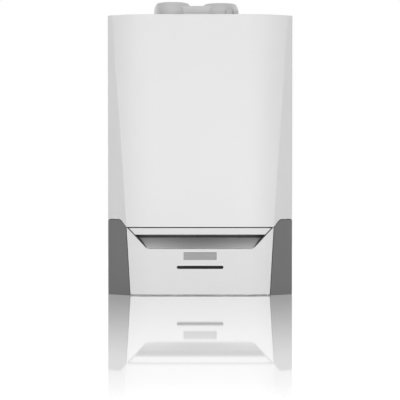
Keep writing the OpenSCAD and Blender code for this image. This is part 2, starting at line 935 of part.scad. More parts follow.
stud_ring_r = drum_r - 13;
stud_r = 3;
burner_hole_r = drum_r - 40;
burner_cover_r = drum_r - 4;
burner_cover_t = 12;
gasket_t = 2;
burner_cover_d = drum_d - gasket_t - burner_cover_t;
flow_port_z = drum_z + drum_r / 2;
return_port_z = drum_z - 30;
elbow_r = 30;
port_inset = drum_r - 45;
flow_port_x = flow_x - elbow_r - 3;
return_port_x = return_x + elbow_r + 3;
vent_x = drum_x + drum_r * 0.7;
vent_d = drum_back - 24;
vent_z = drum_z + drum_r * 0.8;
module around_stud_ring() {
    for (i = [0 : 5]) {
        turn = 30 + i * 60;
        translate([drum_x + stud_ring_r * cos(turn), 0, drum_z + stud_ring_r * sin(turn)]) children();
    }
}

module heat_exchanger() {
    color("silver") front() difference() {
        union() {
            rod_y(drum_x, drum_z, [drum_front, drum_back], drum_r);
            rod_y(drum_x, drum_z, [drum_d, drum_front], drum_r + 5);
            for (i = [1 : 4]) {
                rib = drum_front + i * (drum_back - drum_front - 24) / 5;
                rod_y(drum_x, drum_z, [rib, rib + 4], drum_r + 3);
            }
            around_stud_ring() rod_y(0, 0, [burner_cover_d - 8, drum_front], stud_r);
            rod_x(pipe_d, flow_port_z, [drum_x + port_inset, flow_port_x], water_r + 3);
            rod_x(pipe_d, return_port_z, [return_port_x, drum_x - port_inset], water_r + 3);
            rod_z(flue_x, case_d / 2, [drum_z + port_inset, riser_seat + 35], riser_hole_r + 3);
            rod_z(siphon_x, siphon_d, [drum_z - drum_r - 22, drum_z - drum_r + 10], 14);
            rod_z(vent_x, vent_d, [drum_z + drum_r / 2, vent_z], 8);
        }
        rod_y(drum_x, drum_z, [drum_front, drum_back - drum_wall], drum_r - drum_wall);
        rod_y(drum_x, drum_z, [drum_d - 1, drum_front + 1], burner_hole_r);
        rod_z(flue_x, case_d / 2, [drum_z, riser_seat + 40], riser_r - 5);
        rod_z(flue_x, case_d / 2, [riser_seat, riser_seat + 40], riser_hole_r);
        rod_z(siphon_x, siphon_d, [drum_z - drum_r - 30, drum_z - drum_r + 20], 9);
        rod_x(pipe_d, flow_port_z, [drum_x + port_inset - 30, flow_port_x + 1], water_r - 2);
        rod_x(pipe_d, return_port_z, [return_port_x - 1, drum_x - port_inset + 30], water_r - 2);
    }
}

module exchanger_coil() {
    turns = 8;
    sleeve_r = drum_r - 31;
    pitch = (drum_back - drum_front - drum_wall - 24) / turns;
    color("silver") front() difference() {
        union() {
            rod_y(drum_x, drum_z, [drum_front + FIT, drum_back - drum_wall - FIT], sleeve_r + 4);
            for (i = [0 : turns - 1]) {
                start = drum_front + 8 + i * pitch;
                rod_y(drum_x, drum_z, [start, start + pitch / 3], drum_r - drum_wall - FIT);
            }
        }
        rod_y(drum_x, drum_z, [drum_front - 1, drum_back], sleeve_r);
    }
}

module exchanger_brackets() {
    color("silver") front() for (z = [drum_z - 90, drum_z + 70]) {
        block([drum_x - 70, drum_x + 70], [drum_back, back_d - sheet], [z, z + 2 * sheet]);
        block([drum_x - 70, drum_x + 70], [drum_back, drum_back + 2 * sheet], [z, z + 22]);
        block([drum_x - 70, drum_x + 70], [back_d - 3 * sheet, back_d - sheet], [z, z + 22]);
    }
}

module burner_gasket() {
    color("white") front() difference() {
        rod_y(drum_x, drum_z, [drum_d - gasket_t, drum_d], stud_ring_r - 9);
        rod_y(drum_x, drum_z, [0, case_d], burner_hole_r + 2);
    }
}

boss_r = 38;
boss_d = burner_cover_d - 12;
electrode_x = drum_x - 66;
sight_z = 75;
electrode_r = 4;
module burner_cover() {
    color("gray") front() difference() {
        union() {
            rod_y(drum_x, drum_z, [burner_cover_d, drum_d - gasket_t], burner_cover_r);
            rod_y(drum_x, drum_z, [boss_d, burner_cover_d], boss_r);
            rod_y(drum_x, drum_z + sight_z, [burner_cover_d - 8, burner_cover_d], 14);
            for (i = [0 : 5]) {
                translate([drum_x, 0, drum_z]) rotate([0, 30 + 60 * i, 0])
                    block([boss_r - 4, stud_ring_r - 10], [burner_cover_d - 5, burner_cover_d], [-2, 2]);
            }
        }
        rod_y(drum_x, drum_z, [0, case_d], 30);
        rod_y(electrode_x, drum_z, [0, case_d], electrode_r + FIT);
        rod_y(drum_x, drum_z + sight_z, [burner_cover_d - 9, burner_cover_d - 3], 10);
        around_stud_ring() rod_y(0, 0, [0, case_d], stud_r + 0.4);
    }
}

module burner_nuts() {
    color("silver") front() around_stud_ring() difference() {
        translate([0, burner_cover_d - 5, 0]) rotate([-90, 0, 0]) cylinder(h = 5, r = 6, $fn = 6);
        rod_y(0, 0, [0, case_d], stud_r + 0.1);
    }
}

module burner_tube() {
    tube = [drum_d - gasket_t, drum_back - 70];
    color("darkgray") front() difference() {
        union() {
            rod_y(drum_x, drum_z, tube, 36);
            rod_y(drum_x, drum_z, [tube[0], tube[0] + 1.6], 46);
        }
        rod_y(drum_x, drum_z, [tube[0] - 1, tube[1] - 2], 33);
    }
}

electrode_end = burner_cover_d - 20;
module ignition_electrode() {
    color("white") front() {
        rod_y(electrode_x, drum_z, [electrode_end, drum_d + 20], electrode_r);
        rod_y(electrode_x, drum_z, [burner_cover_d - 6, burner_cover_d], electrode_r + 4);
        rod_y(electrode_x, drum_z, [drum_d + 20, drum_d + 45], 1.2);
    }
}

unit_d = 200;
unit_z = 600;
module ignition_unit() {
    outer = -half_w + sheet;
    color("dimgray") front() {
        block([outer, outer + 42], [unit_d, unit_d + 62], [unit_z - 40, unit_z + 40]);
        rod_y(outer + 30, unit_z - 25, [unit_d - 10, unit_d], 6);
    }
}

duct_d = [fan_d, boss_d - 2];
duct_half_h = 36;
outlet_x = [fan_x - fan_r, fan_x - fan_r + 50];
outlet_top = drum_z - duct_half_h - 8;
module mixing_duct() {
    color("gray") front() difference() {
        union() {
            block([drum_x, outlet_x[1]], duct_d, [drum_z - duct_half_h, drum_z + duct_half_h]);
            rod_y(drum_x, drum_z, [duct_d[0], boss_d], duct_half_h + 4);
            block([outlet_x[0] - 3, outlet_x[1] + 3], duct_d, [outlet_top, outlet_top + 12]);
        }
        block([drum_x, outlet_x[1] - 4], [duct_d[0] + 4, duct_d[1] - 4],
            [drum_z - duct_half_h + 4, drum_z + duct_half_h - 4]);
        rod_y(drum_x, drum_z, [duct_d[0] + 4, boss_d + 1], 30);
        block([outlet_x[0] + 4, outlet_x[1] - 4], [duct_d[0] + 4, duct_d[1] - 4],
            [outlet_top - 1, drum_z]);
    }
}

fan_wall = 3;
fan_back = fan_d + fan_l;
shaft_r = 4;
inlet_r = 30;
module fan_housing() {
    color("silver") front() difference() {
        union() {
            rod_y(fan_x, fan_z, [fan_d, fan_back], fan_r);
            block(outlet_x, duct_d, [fan_z, outlet_top]);
            rod_y(fan_x, fan_z, [fan_back, fan_back + 3], inlet_r + 10);
        }
        rod_y(fan_x, fan_z, [fan_d + fan_wall, fan_back - fan_wall], fan_r - fan_wall);
        block([outlet_x[0] + fan_wall, outlet_x[1] - fan_wall],
            [duct_d[0] + fan_wall, duct_d[1] - fan_wall], [fan_z, outlet_top + 1]);
        rod_y(fan_x, fan_z, [fan_back - 10, fan_back + 4], inlet_r - 2);
        rod_y(fan_x, fan_z, [fan_d - 1, fan_d + 10], shaft_r + 4);
    }
}

motor_front = fan_d - 42;
module fan_motor() {
    color("dimgray") front() difference() {
        union() {
            rod_y(fan_x, fan_z, [motor_front, fan_d - 3], 38);
            rod_y(fan_x, fan_z, [fan_d - 3, fan_d], 46);
            block([fan_x - 16, fan_x + 16], [motor_front + 8, fan_d - 6], [fan_z + 30, fan_z + 50]);
        }
        rod_y(fan_x, fan_z, [motor_front + 4, fan_d + 1], shaft_r + run_gap);
    }
}

module fan_impeller() {
    wheel_r = fan_r - fan_wall - 7;
    wheel = [fan_d + fan_wall + 5, fan_back - fan_wall - 6];
    color("lightgray") front() {
        rod_y(fan_x, fan_z, [motor_front + 5, wheel[1] - 4], shaft_r);
        rod_y(fan_x, fan_z, [wheel[0], wheel[0] + 3], wheel_r);
        rod_y(fan_x, fan_z, [wheel[0], wheel[0] + 12], 12);
        for (i = [0 : blades - 1]) {
            translate([fan_x, 0, fan_z]) rotate([0, i * 360 / blades, 0])
                block([inlet_r, wheel_r - 1], [wheel[0] + 2, wheel[1] - 1], [-1, 1]);
        }
        difference() {
            rod_y(fan_x, fan_z, [wheel[1] - 2, wheel[1]], wheel_r);
            rod_y(fan_x, fan_z, [0, case_d], inlet_r + 2);
        }
    }
}

venturi_front = fan_back + 3;
venturi_back = venturi_front + 58;
venturi_r = 32;
valve_d = [venturi_front + 4, venturi_front + 78];
valve_x = fan_x + venturi_r + 8;
valve_port_d = venturi_front + 30;
module venturi() {
    throat_r = 16;
    color("gray") front() difference() {
        union() {
            rod_y(fan_x, fan_z, [venturi_front, venturi_back], venturi_r);
            rod_y(fan_x, fan_z, [venturi_front, venturi_front + 4], inlet_r + 10);
            rod_x(valve_port_d, fan_z, [fan_x, valve_x], 14);
        }
        translate([fan_x, venturi_front - 1, fan_z]) rotate([-90, 0, 0])
            cylinder(h = 31, r1 = inlet_r - 4, r2 = throat_r);
        translate([fan_x, venturi_front + 29, fan_z]) rotate([-90, 0, 0])
            cylinder(h = 31, r1 = throat_r, r2 = inlet_r - 4);
        rod_x(valve_port_d, fan_z, [fan_x, valve_x + 1], 6);
    }
}

gas_valve_x = [valve_x, valve_x + 66];
module gas_valve() {
    color("lightslategray") front() difference() {
        union() {
            block(gas_valve_x, valve_d, [fan_z - 38, fan_z + 34]);
            rod_z(gas_x - 2, valve_d[0] + 24, [fan_z + 34, fan_z + 66], 20);
            block([gas_x + 4, gas_x + 26], [valve_d[0] + 46, valve_d[1] - 4], [fan_z + 34, fan_z + 50]);
            rod_z(gas_x, gas_d, [fan_z - 46, fan_z - 38], gas_tube_r + 5);
        }
        rod_x(valve_port_d, fan_z, [valve_x - 1, valve_x + 20], 6);
        rod_z(gas_x, gas_d, [fan_z - 47, fan_z - 20], 9);
    }
}

gas_nut_h = 24;
module gas_pipe() {
    color("goldenrod") front() difference() {
        union() {
            rod_z(gas_x, gas_d, [pipe_end, fan_z - 46], gas_tube_r);
            rod_z(gas_x, gas_d, [pipe_end, pipe_end + 36], gas_r);
            translate([gas_x, gas_d, pipe_end + 36]) cylinder(h = gas_nut_h, r = gas_r + 4, $fn = 6);
        }
        rod_z(gas_x, gas_d, [pipe_end - 1, fan_z], gas_tube_r - 2);
    }
}

module air_silencer() {
    x = [fan_x - 25, fan_x + 33];
    d = [venturi_back, venturi_back + 46];
    z = [fan_z - 38, case_h - 155];
    wall = 2;
    color("dimgray") front() difference() {
        block(x, d, z);
        block([x[0] + wall, x[1] - wall], [d[0] + wall, d[1] - wall], [z[0] + wall, z[1] + 1]);
        rod_y(fan_x, fan_z, [d[0] - 1, d[0] + wall + 1], inlet_r - 4);
    }
}

// Quarter bend in the upright plane: it starts level at the height z and ends facing down at x = 0
module bend_down(z, r) {
    intersection() {
        translate([-elbow_r, 0, z - elbow_r]) rotate([90, 0, 0]) rotate_extrude($fn = 128)
            translate([elbow_r, 0]) circle(r = r);
        translate([-elbow_r, -2 * r, z - elbow_r]) cube([3 * elbow_r, 4 * r, 3 * elbow_r]);
    }
}

thread_l = 30;
nut_h = 22;
// Solid of a water pipe at the origin: level from its port, down round the bend, to its lower end
module water_line(reach, port_z, r, past) {
    rod_x(0, port_z, [-reach - past, -elbow_r], r);
    bend_down(port_z, r);
    rod_z(0, 0, [pipe_end - past, port_z - elbow_r], r);
}

// Water pipe with its nut, turned so that its level end points to the drum
module water_pipe(x, turn, reach, port_z) {
    nut_z = pipe_end + thread_l + 8;
    translate([x, pipe_d, 0]) rotate([0, 0, turn]) difference() {
        union() {
            water_line(reach, port_z, water_r, 0);
            translate([0, 0, nut_z]) cylinder(h = nut_h, r = water_r + 6, $fn = 6);
        }
        water_line(reach, port_z, water_r - 2, 1);
    }
}

module flow_pipe() {
    color("peru") front() water_pipe(flow_x, 0, flow_x - flow_port_x, flow_port_z);
}

module return_pipe() {
    color("peru") front() water_pipe(return_x, 180, return_port_x - return_x, return_port_z);
}

module air_vent() {
    color("goldenrod") front() {
        rod_z(vent_x, vent_d, [vent_z, vent_z + 10], 11);
        rod_z(vent_x, vent_d, [vent_z + 10, vent_z + 52], 17);
        rod_z(vent_x, vent_d, [vent_z + 52, vent_z + 60], 6);
        rod_y(vent_x, vent_z + 40, [vent_d - 26, vent_d - 10], 5);
    }
}

siphon_top = drum_z - drum_r - 22;
module siphon() {
    low = 96;
    color("whitesmoke") front() {
        difference() {
            union() {
                rod_z(siphon_x, siphon_d, [low, siphon_top - 16], siphon_r);
                rod_z(siphon_x, siphon_d, [siphon_top - 16, siphon_top], 18);
                rod_z(siphon_x, siphon_d, [low + 20, low + 26], siphon_r + 2);
            }
            rod_z(siphon_x, siphon_d, [low + 3, siphon_top - 19], siphon_r - 3);
            rod_z(siphon_x, siphon_d, [siphon_top - 20, siphon_top + 1], 9);
        }
        rod_z(siphon_x, siphon_d, [pipe_end, low], drain_r);
    }
}

module pipe_grommets() {
    groove = 0.1;
    lip_h = 3;
    color("dimgray") front() for (line = LINES) difference() {
        hole_r = line.z + tray_hole_gap;
        union() {
            rod_z(line.x, line.y, [tray_z - lip_h, tray_z], hole_r + 4);
            rod_z(line.x, line.y, [tray_z, tray_z + sheet], hole_r - groove);
            rod_z(line.x, line.y, [tray_z + sheet, tray_z + sheet + lip_h], hole_r + 4);
        }
        rod_z(line.x, line.y, [tray_z - 10, tray_z + 20], line.z + 0.2);
    }
}

module wiring_loom() {
    lead_r = 2.5;
    lead_d = electrode_end - 16;
    unit_x = -half_w + sheet + 30;
    lead_z = unit_z - 25;
    loom_z = unit_z + 12;
    color("black") front() {
        bent_line([[loom_x, loom_d, tray_z - 12], [loom_x, loom_d, loom_z], [loom_x, unit_d - 8, loom_z]],
            loom_r);
        rod_y(loom_x, loom_z, [unit_d - 10, unit_d], loom_r + 1);
        bent_line([
            [unit_x, unit_d - 22, lead_z],
            [unit_x, lead_d, lead_z],
            [electrode_x, lead_d, lead_z],
            [electrode_x, lead_d, drum_z]
        ], lead_r);
        rod_y(unit_x, lead_z, [unit_d - 24, unit_d - 10], lead_r + 2);
        rod_y(electrode_x, drum_z, [lead_d - 5, electrode_end], lead_r + 3);
    }
}

screw_r = 2;
adapter_screws = [
    for (x = [flue_x, (flue_x + air_x) / 2, air_x], side = [-1, 1])
        [x, case_d / 2 + side * (collar_r + 4)]
];
plate_screws = [for (side = [-1, 1], z = [110, case_h / 2, case_h - 60]) [side * (half_w - 12), z]];
// Pan head screw along +Z, with its head's underside at the origin
module screw(length) {
    cylinder(h = 2.2, r = screw_r * 2);
    translate([0, 0, -length]) cylinder(h = length + 1, r = screw_r);
}

module casing_screws() {
    color("silver") front() {
        for (p = adapter_screws) translate([p.x, p.y, case_h + adapter_foot]) screw(adapter_foot);
        for (p = plate_screws) translate([p.x, back_d, p.y]) rotate([-90, 0, 0]) screw(sheet);
    }
}

front_cover();
cover_grip_strip();
quarter_turn_left();
quarter_turn_right();
front_seal();
side_panel_left();
side_panel_right();
top_panel();
bottom_tray();
back_plate();
hanging_rail();
wall_bracket();
corner_post_left();
corner_post_right();
hinge_rail();
hinge_pins();
lower_door();
grip_tray();
slot_lens();
badge_plate();
door_catches();
control_housing();
control_fascia();
display_window();
key_menu();
key_minus();
key_plus();
key_reset();
power_switch();
control_board();
terminal_block();
cable_glands();
flue_adapter();
flue_seals();
sampling_caps();
flue_riser();
heat_exchanger();
exchanger_coil();
exchanger_brackets();
burner_gasket();
burner_cover();
burner_nuts();
burner_tube();
ignition_electrode();
ignition_unit();
mixing_duct();
fan_housing();
fan_motor();
fan_impeller();
venturi();
gas_valve();
gas_pipe();
air_silencer();
flow_pipe();
return_pipe();
air_vent();
siphon();
pipe_grommets();
wiring_loom();
casing_screws();
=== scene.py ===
# %% [markdown]
# # Dressing a wall-hung heat-only boiler
# The boiler's solids come from an exact model, and this lesson gives them their looks.
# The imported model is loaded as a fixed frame. Its nodes never move and their meshes never
# change: a node gets a better material, or a finer piece stands in its place and rides
# on the same body. Everything is in metres, with the front of the boiler towards -Y.

import json
import math

import bmesh
import bpy
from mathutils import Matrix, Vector


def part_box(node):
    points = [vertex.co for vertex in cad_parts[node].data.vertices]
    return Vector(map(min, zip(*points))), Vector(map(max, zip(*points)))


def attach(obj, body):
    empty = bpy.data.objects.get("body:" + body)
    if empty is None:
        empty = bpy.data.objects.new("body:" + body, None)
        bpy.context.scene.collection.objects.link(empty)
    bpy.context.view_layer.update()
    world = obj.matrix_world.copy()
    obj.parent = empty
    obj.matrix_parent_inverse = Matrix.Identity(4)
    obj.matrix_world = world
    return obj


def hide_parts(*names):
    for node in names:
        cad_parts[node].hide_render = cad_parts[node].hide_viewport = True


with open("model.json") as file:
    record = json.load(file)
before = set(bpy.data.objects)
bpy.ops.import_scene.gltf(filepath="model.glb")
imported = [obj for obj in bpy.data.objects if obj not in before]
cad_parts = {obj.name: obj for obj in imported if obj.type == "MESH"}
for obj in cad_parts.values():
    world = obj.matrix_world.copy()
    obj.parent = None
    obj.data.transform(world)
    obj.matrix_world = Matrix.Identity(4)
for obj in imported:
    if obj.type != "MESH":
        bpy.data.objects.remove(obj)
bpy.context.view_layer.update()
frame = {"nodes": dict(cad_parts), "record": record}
nodes = frame["nodes"]

# %% [markdown]
# ## Camera
# The product stands straight in front of a long lens, which looks at it from a third of its
# height, so that its sides and top don't show. Such a view could be made with a flat
# orthographic camera, but then the flue adapter would rise too high behind the top edge.
# A lens of 134 mm, four metres before the front, keeps a real lens's small perspective.

# %% Place the camera
EYE = (0, -4.25, 0.256)
LENS, SENSOR = 134.2, 36
SHIFT_ASIDE, SHIFT_UP = -0.0003, 0.0003
scene = bpy.context.scene
camera_data = bpy.data.cameras.new("studio_camera")
camera_data.lens = LENS
camera_data.sensor_width = SENSOR
camera_data.shift_x = SHIFT_ASIDE
camera_data.shift_y = SHIFT_UP
camera = bpy.data.objects.new("studio_camera", camera_data)
camera.location = EYE
camera.rotation_euler = (math.radians(90), 0, 0)
scene.collection.objects.link(camera)
scene.camera = camera
scene.view_settings.view_transform = "Standard"
print("camera", tuple(round(v, 3) for v in camera.location), "lens", camera_data.lens)

# %% [markdown]
# ## Node helpers
# A node tree is a wiring plan: each box takes numbers or other boxes' results. It could be
# written out box by box, but four small helpers say the same in one line per box: one
# feeds a socket, one adds a Math node, one a plain shader, and one mixes two shaders.


# %% Feed sockets and add nodes
def feed(tree, socket, value):
    """Sets a socket to a plain number, or links another node's output to it."""
    if isinstance(value, (int, float)):
        socket.default_value = value
    else:
        tree.links.new(value, socket)


def math_node(tree, operation, *values):
    """A Math node's result; each value is a number or another node's output."""
    node = tree.nodes.new("ShaderNodeMath")
    node.operation = operation
    for socket, value in zip(node.inputs, values):
        feed(tree, socket, value)
    return node.outputs[0]


def plain_shader(tree, kind, grey, **more):
    """The result of a shader of one grey; more are its other numbers."""
    node = tree.nodes.new(kind)
    node.inputs["Color"].default_value = (grey, grey, grey, 1)
    for title, value in more.items():
        node.inputs[title].default_value = value
    return node.outputs[0]


def mixed(tree, share, first, second):
    """Two shaders mixed: the first where the share is 0, the second where it is 1."""
    node = tree.nodes.new("ShaderNodeMixShader")
    for socket, value in zip(node.inputs, (share, first, second)):
        tree.links.new(value, socket)
    return node.outputs[0]


print("node helpers ready")

# %% [markdown]
# ## White surroundings
# A studio shot on white needs a white background without extra light on the object. The
# world gives a soft fill to the surfaces, and it is plain white only for rays that come
# straight from the camera, from a reflection or through glass. Light Path tells them apart.

# %% Make the world
FILL_LIGHT = 0.155
world = bpy.data.worlds.new("studio_world")
scene.world = world
world.use_nodes = True
sky = world.node_tree
sky.nodes.clear()
sky_out = sky.nodes.new("ShaderNodeOutputWorld")
sky_ray = sky.nodes.new("ShaderNodeLightPath").outputs
sky_seen = math_node(sky, "MAXIMUM", sky_ray["Is Camera Ray"], sky_ray["Is Glossy Ray"])
sky_any = math_node(sky, "MAXIMUM", sky_seen, sky_ray["Is Transmission Ray"])
sky_fill = plain_shader(sky, "ShaderNodeBackground", 1.0, Strength=FILL_LIGHT)
sky_white = plain_shader(sky, "ShaderNodeBackground", 1.0, Strength=1.0)
sky.links.new(mixed(sky, sky_any, sky_fill, sky_white), sky_out.inputs["Surface"])
print("fill light", FILL_LIGHT)

# %% [markdown]
# ## Polished table
# The boiler stands on a white polished table that mirrors its skirt, and the mirror image
# fades out towards the viewer. A real table gets that fade from a sheet of frosted film.
# Here the table is a wide plane, and the share of mirror falls with the distance from the
# boiler's middle, read from the table's own Object coordinates. Each step of the fade is a
# place, as a part of its reach, and the share of mirror there.

# %% Lay the table and its fade
TABLE_SIZE = 60
FADE_REACH = 2.5
FADE = [
    (0.175, 0.78), (0.315, 0.715), (0.43, 0.64), (0.612, 0.49), (0.735, 0.39),
    (0.82, 0.39), (0.86, 0.35), (0.90, 0.26), (0.94, 0.16), (1.0, 0.0),
]
bpy.ops.object.select_all(action="DESELECT")
bpy.ops.mesh.primitive_plane_add(size=TABLE_SIZE, location=(0, 0, 0))
table_top = bpy.context.object
table_top.name = "table_top"
table_paint = bpy.data.materials.new("polished_table")
table_paint.use_nodes = True
table_tree = table_paint.node_tree
table_tree.nodes.clear()
table_place = table_tree.nodes.new("ShaderNodeTexCoord")
away = table_tree.nodes.new("ShaderNodeVectorMath")
away.operation = "LENGTH"
table_tree.links.new(table_place.outputs["Object"], away.inputs[0])
fade = table_tree.nodes.new("ShaderNodeValToRGB")
feed(table_tree, fade.inputs["Fac"], math_node(table_tree, "DIVIDE", away.outputs["Value"], FADE_REACH))
while len(fade.color_ramp.elements) < len(FADE):
    fade.color_ramp.elements.new(0.5)
for stop, (place, share) in zip(fade.color_ramp.elements, FADE):
    stop.position = place
    stop.color = (share, share, share, 1)
print("fade in", len(FADE), "steps over", FADE_REACH, "m")

# %% [markdown]
# ### The table's surface
# The fade leads from mirror to white. The white glows by itself, so that it is as white as
# the background, and has a little diffuse light in it, so that the boiler still drops a
# soft shadow. A glowing table would also light the boiler from below, so for every other
# ray than those of the camera and of reflections it is plainly diffuse.

# %% Mix the table's surface
TABLE_GLOW, TABLE_SHADE, TABLE_BOUNCE = 0.985, 0.1, 0.8
table_white = table_tree.nodes.new("ShaderNodeAddShader")
glow = plain_shader(table_tree, "ShaderNodeEmission", 1.0, Strength=TABLE_GLOW)
feed(table_tree, table_white.inputs[0], glow)
feed(table_tree, table_white.inputs[1], plain_shader(table_tree, "ShaderNodeBsdfDiffuse", TABLE_SHADE))
mirror = plain_shader(table_tree, "ShaderNodeBsdfGlossy", 1.0, Roughness=0.03)
looked_at = mixed(table_tree, fade.outputs["Color"], table_white.outputs[0], mirror)
bounce = plain_shader(table_tree, "ShaderNodeBsdfDiffuse", TABLE_BOUNCE)
table_ray = table_tree.nodes.new("ShaderNodeLightPath").outputs
table_seen = math_node(table_tree, "MAXIMUM", table_ray["Is Camera Ray"], table_ray["Is Glossy Ray"])
table_out = table_tree.nodes.new("ShaderNodeOutputMaterial")
feed(table_tree, table_out.inputs["Surface"], mixed(table_tree, table_seen, bounce, looked_at))
table_top.data.materials.append(table_paint)
print("table", table_top.dimensions[:2])

# %% [markdown]
# ## Soft studio light
# Large soft boxes light a white appliance evenly. The front one does most of the work. It
# stands low, so that the cover grows a little darker towards its top. Two behind the sides
# keep the flanks readable without lifting the corner facets, a high one and one over the
# top light the upper faces, and a weak one the back. A box on the left lays a soft upright
# sheen on the curved front. Each line gives a lamp's place, aim, size and watts.


# %% Hang the soft boxes
def soft_box(name, place, aim, size, power):
    """Adds a rectangular lamp of a size in metres that faces a point."""
    data = bpy.data.lights.new(name, "AREA")
    data.shape = "RECTANGLE"
    data.size, data.size_y = size
    data.energy = power
    lamp = bpy.data.objects.new(name, data)
    lamp.location = place
    lamp.rotation_euler = (Vector(aim) - Vector(place)).to_track_quat("-Z", "Y").to_euler()
    scene.collection.objects.link(lamp)


MIDDLE = (0, 0, 0.4)
soft_box("front_box", (0.5, -3.4, 0.27), (0, 0, 0.3), (1.6, 0.5), 36)
soft_box("high_box", (0.2, -2.8, 3.0), MIDDLE, (1.4, 1.0), 15)
soft_box("left_box", (-2.8, 2.0, 1.3), MIDDLE, (1.4, 1.8), 32)
soft_box("right_box", (2.9, 1.8, 1.3), MIDDLE, (1.4, 1.8), 42)
soft_box("top_box", (0, 1.0, 3.2), MIDDLE, (1.4, 1.4), 27)
soft_box("back_box", (0, 3.8, 2.6), MIDDLE, (1.6, 1.4), 3)
soft_box("sheen_box", (-1.35, -3.9, 0.75), (-0.14, 0, 0.45), (1.4, 1.2), 32)

# %% [markdown]
# ## Shared surface effects
# Real finishes are never flat. Powder coat has a faint orange peel, moulded plastic a fine
# grain, and sheet steel the streaks of its rolling. Each effect could be drawn anew in
# every material, but a node group keeps it in one place. The groups put out only what
# changes over the surface: a colour, a roughness and a height for a Bump node.


# %% A group's frame
def new_group(name, numbers):
    """A shader node group that takes a Vector, a Color and numbers, and has three outputs."""
    group = bpy.data.node_groups.new(name, "ShaderNodeTree")
    group.interface.new_socket("Vector", in_out="INPUT", socket_type="NodeSocketVector")
    group.interface.new_socket("Color", in_out="INPUT", socket_type="NodeSocketColor")
    for title, value in numbers.items():
        socket = group.interface.new_socket(title, in_out="INPUT", socket_type="NodeSocketFloat")
        socket.default_value = value
    group.interface.new_socket("Color", in_out="OUTPUT", socket_type="NodeSocketColor")
    group.interface.new_socket("Roughness", in_out="OUTPUT", socket_type="NodeSocketFloat")
    group.interface.new_socket("Height", in_out="OUTPUT", socket_type="NodeSocketFloat")
    start = group.nodes.new("NodeGroupInput")
    end = group.nodes.new("NodeGroupOutput")
    return group, start, end


def noise(group, start, scale, detail, stretch=None):
    """A noise texture on the group's Vector; its scale is a number or another node's output."""
    texture = group.nodes.new("ShaderNodeTexNoise")
    texture.inputs["Detail"].default_value = detail
    place = start.outputs["Vector"]
    if stretch:
        mapping = group.nodes.new("ShaderNodeMapping")
        mapping.inputs["Scale"].default_value = stretch
        group.links.new(place, mapping.inputs["Vector"])
        place = mapping.outputs["Vector"]
    group.links.new(place, texture.inputs["Vector"])
    feed(group, texture.inputs["Scale"], scale)
    return texture.outputs["Fac"]


print("frame and noise ready")

# %% [markdown]
# ### From a pattern to the outputs
# A noise stays between about 0.3 and 0.7, and a tint or a gloss needs a range of its own,
# which a Map Range node gives. A tone then darkens the colour by no more than the Tint, a
# sheen picks a roughness between the two Gloss numbers, and a lift is the height.

# %% Spread, shade and put out
NOISE_LOW, NOISE_HIGH = 0.3, 0.7


def spread(group, value, low, high, first=NOISE_LOW, last=NOISE_HIGH, kind="LINEAR"):
    """Maps a value from between first and last onto low to high, all numbers or outputs."""
    node = group.nodes.new("ShaderNodeMapRange")
    node.interpolation_type = kind
    group.links.new(value, node.inputs["Value"])
    for title, limit in (("From Min", first), ("From Max", last), ("To Min", low), ("To Max", high)):
        feed(group, node.inputs[title], limit)
    return node.outputs["Result"]


def shaded(group, start, tone):
    """The group's Color made lighter or darker by a value round 1."""
    mix = group.nodes.new("ShaderNodeMix")
    mix.data_type = "RGBA"
    mix.blend_type = "MULTIPLY"
    mix.inputs["Factor"].default_value = 1.0
    group.links.new(start.outputs["Color"], mix.inputs["A"])
    group.links.new(tone, mix.inputs["B"])
    return mix.outputs["Result"]


def put_out(group, start, end, tone, sheen, lift, glosses=("Gloss low", "Gloss high")):
    """Links a group's outputs: the tone tints its Color, the sheen runs between its glosses."""
    darkest = math_node(group, "SUBTRACT", 1.0, start.outputs["Tint"])
    low, high = (start.outputs[title] for title in glosses)
    group.links.new(shaded(group, start, spread(group, tone, darkest, 1.0)), end.inputs["Color"])
    group.links.new(spread(group, sheen, low, high), end.inputs["Roughness"])
    group.links.new(lift, end.inputs["Height"])
    print("effect", group.name)


# %% [markdown]
# ### Grain
# Powder coat and moulded plastic share one effect: a fine grain that lifts the surface by
# a hair, a slow drift of the gloss, and a tint that changes a little from place to place.
# Two noises of very different size do it. Scale sets the fine one.

# %% Build the grain
grain, g_in, g_out = new_group(
    "fine_grain", {"Scale": 900.0, "Tint": 0.03, "Gloss low": 0.4, "Gloss high": 0.5}
)
drift = noise(grain, g_in, 7.0, 4.0)
put_out(grain, g_in, g_out, drift, drift, noise(grain, g_in, g_in.outputs["Scale"], 2.0))

# %% [markdown]
# ### Rolled metal
# Sheet and brushed parts show fine streaks along one direction. A noise that is squeezed
# across the streaks gives them. It drives both the colour and the height, as on real
# metal, while slow blots drive the gloss.


# %% Build the streaks
def streaks(name, stretch):
    """A group of streaks; stretch is how many lines a metre there are along each axis."""
    group, start, end = new_group(name, {"Tint": 0.12, "Gloss low": 0.25, "Gloss high": 0.45})
    lines = noise(group, start, 1.0, 3.0, stretch)
    put_out(group, start, end, lines, noise(group, start, 9.0, 3.0), lines)
    return group


streaks_across = streaks("streaks_across", (14, 700, 700))
streaks_deep = streaks("streaks_deep", (700, 14, 700))

# %% [markdown]
# ### Zinc, castings and tarnish
# Zinc-plated sheet has large flat crystals, which a Voronoi cell pattern gives. A sand
# casting is rough all over. Copper and brass darken in soft clouds where hands touch them,
# and the dark places are the rough ones, so the clouds' gloss runs the other way round.

# %% Build the crystals and the clouds
zinc, z_in, z_out = new_group("zinc_crystals", {"Tint": 0.18, "Gloss low": 0.3, "Gloss high": 0.5})
cells = zinc.nodes.new("ShaderNodeTexVoronoi")
cells.inputs["Scale"].default_value = 90.0
zinc.links.new(z_in.outputs["Vector"], cells.inputs["Vector"])
crystal = zinc.nodes.new("ShaderNodeSeparateColor")
zinc.links.new(cells.outputs["Color"], crystal.inputs["Color"])
put_out(zinc, z_in, z_out, crystal.outputs[0], crystal.outputs[1], noise(zinc, z_in, 300.0, 2.0))

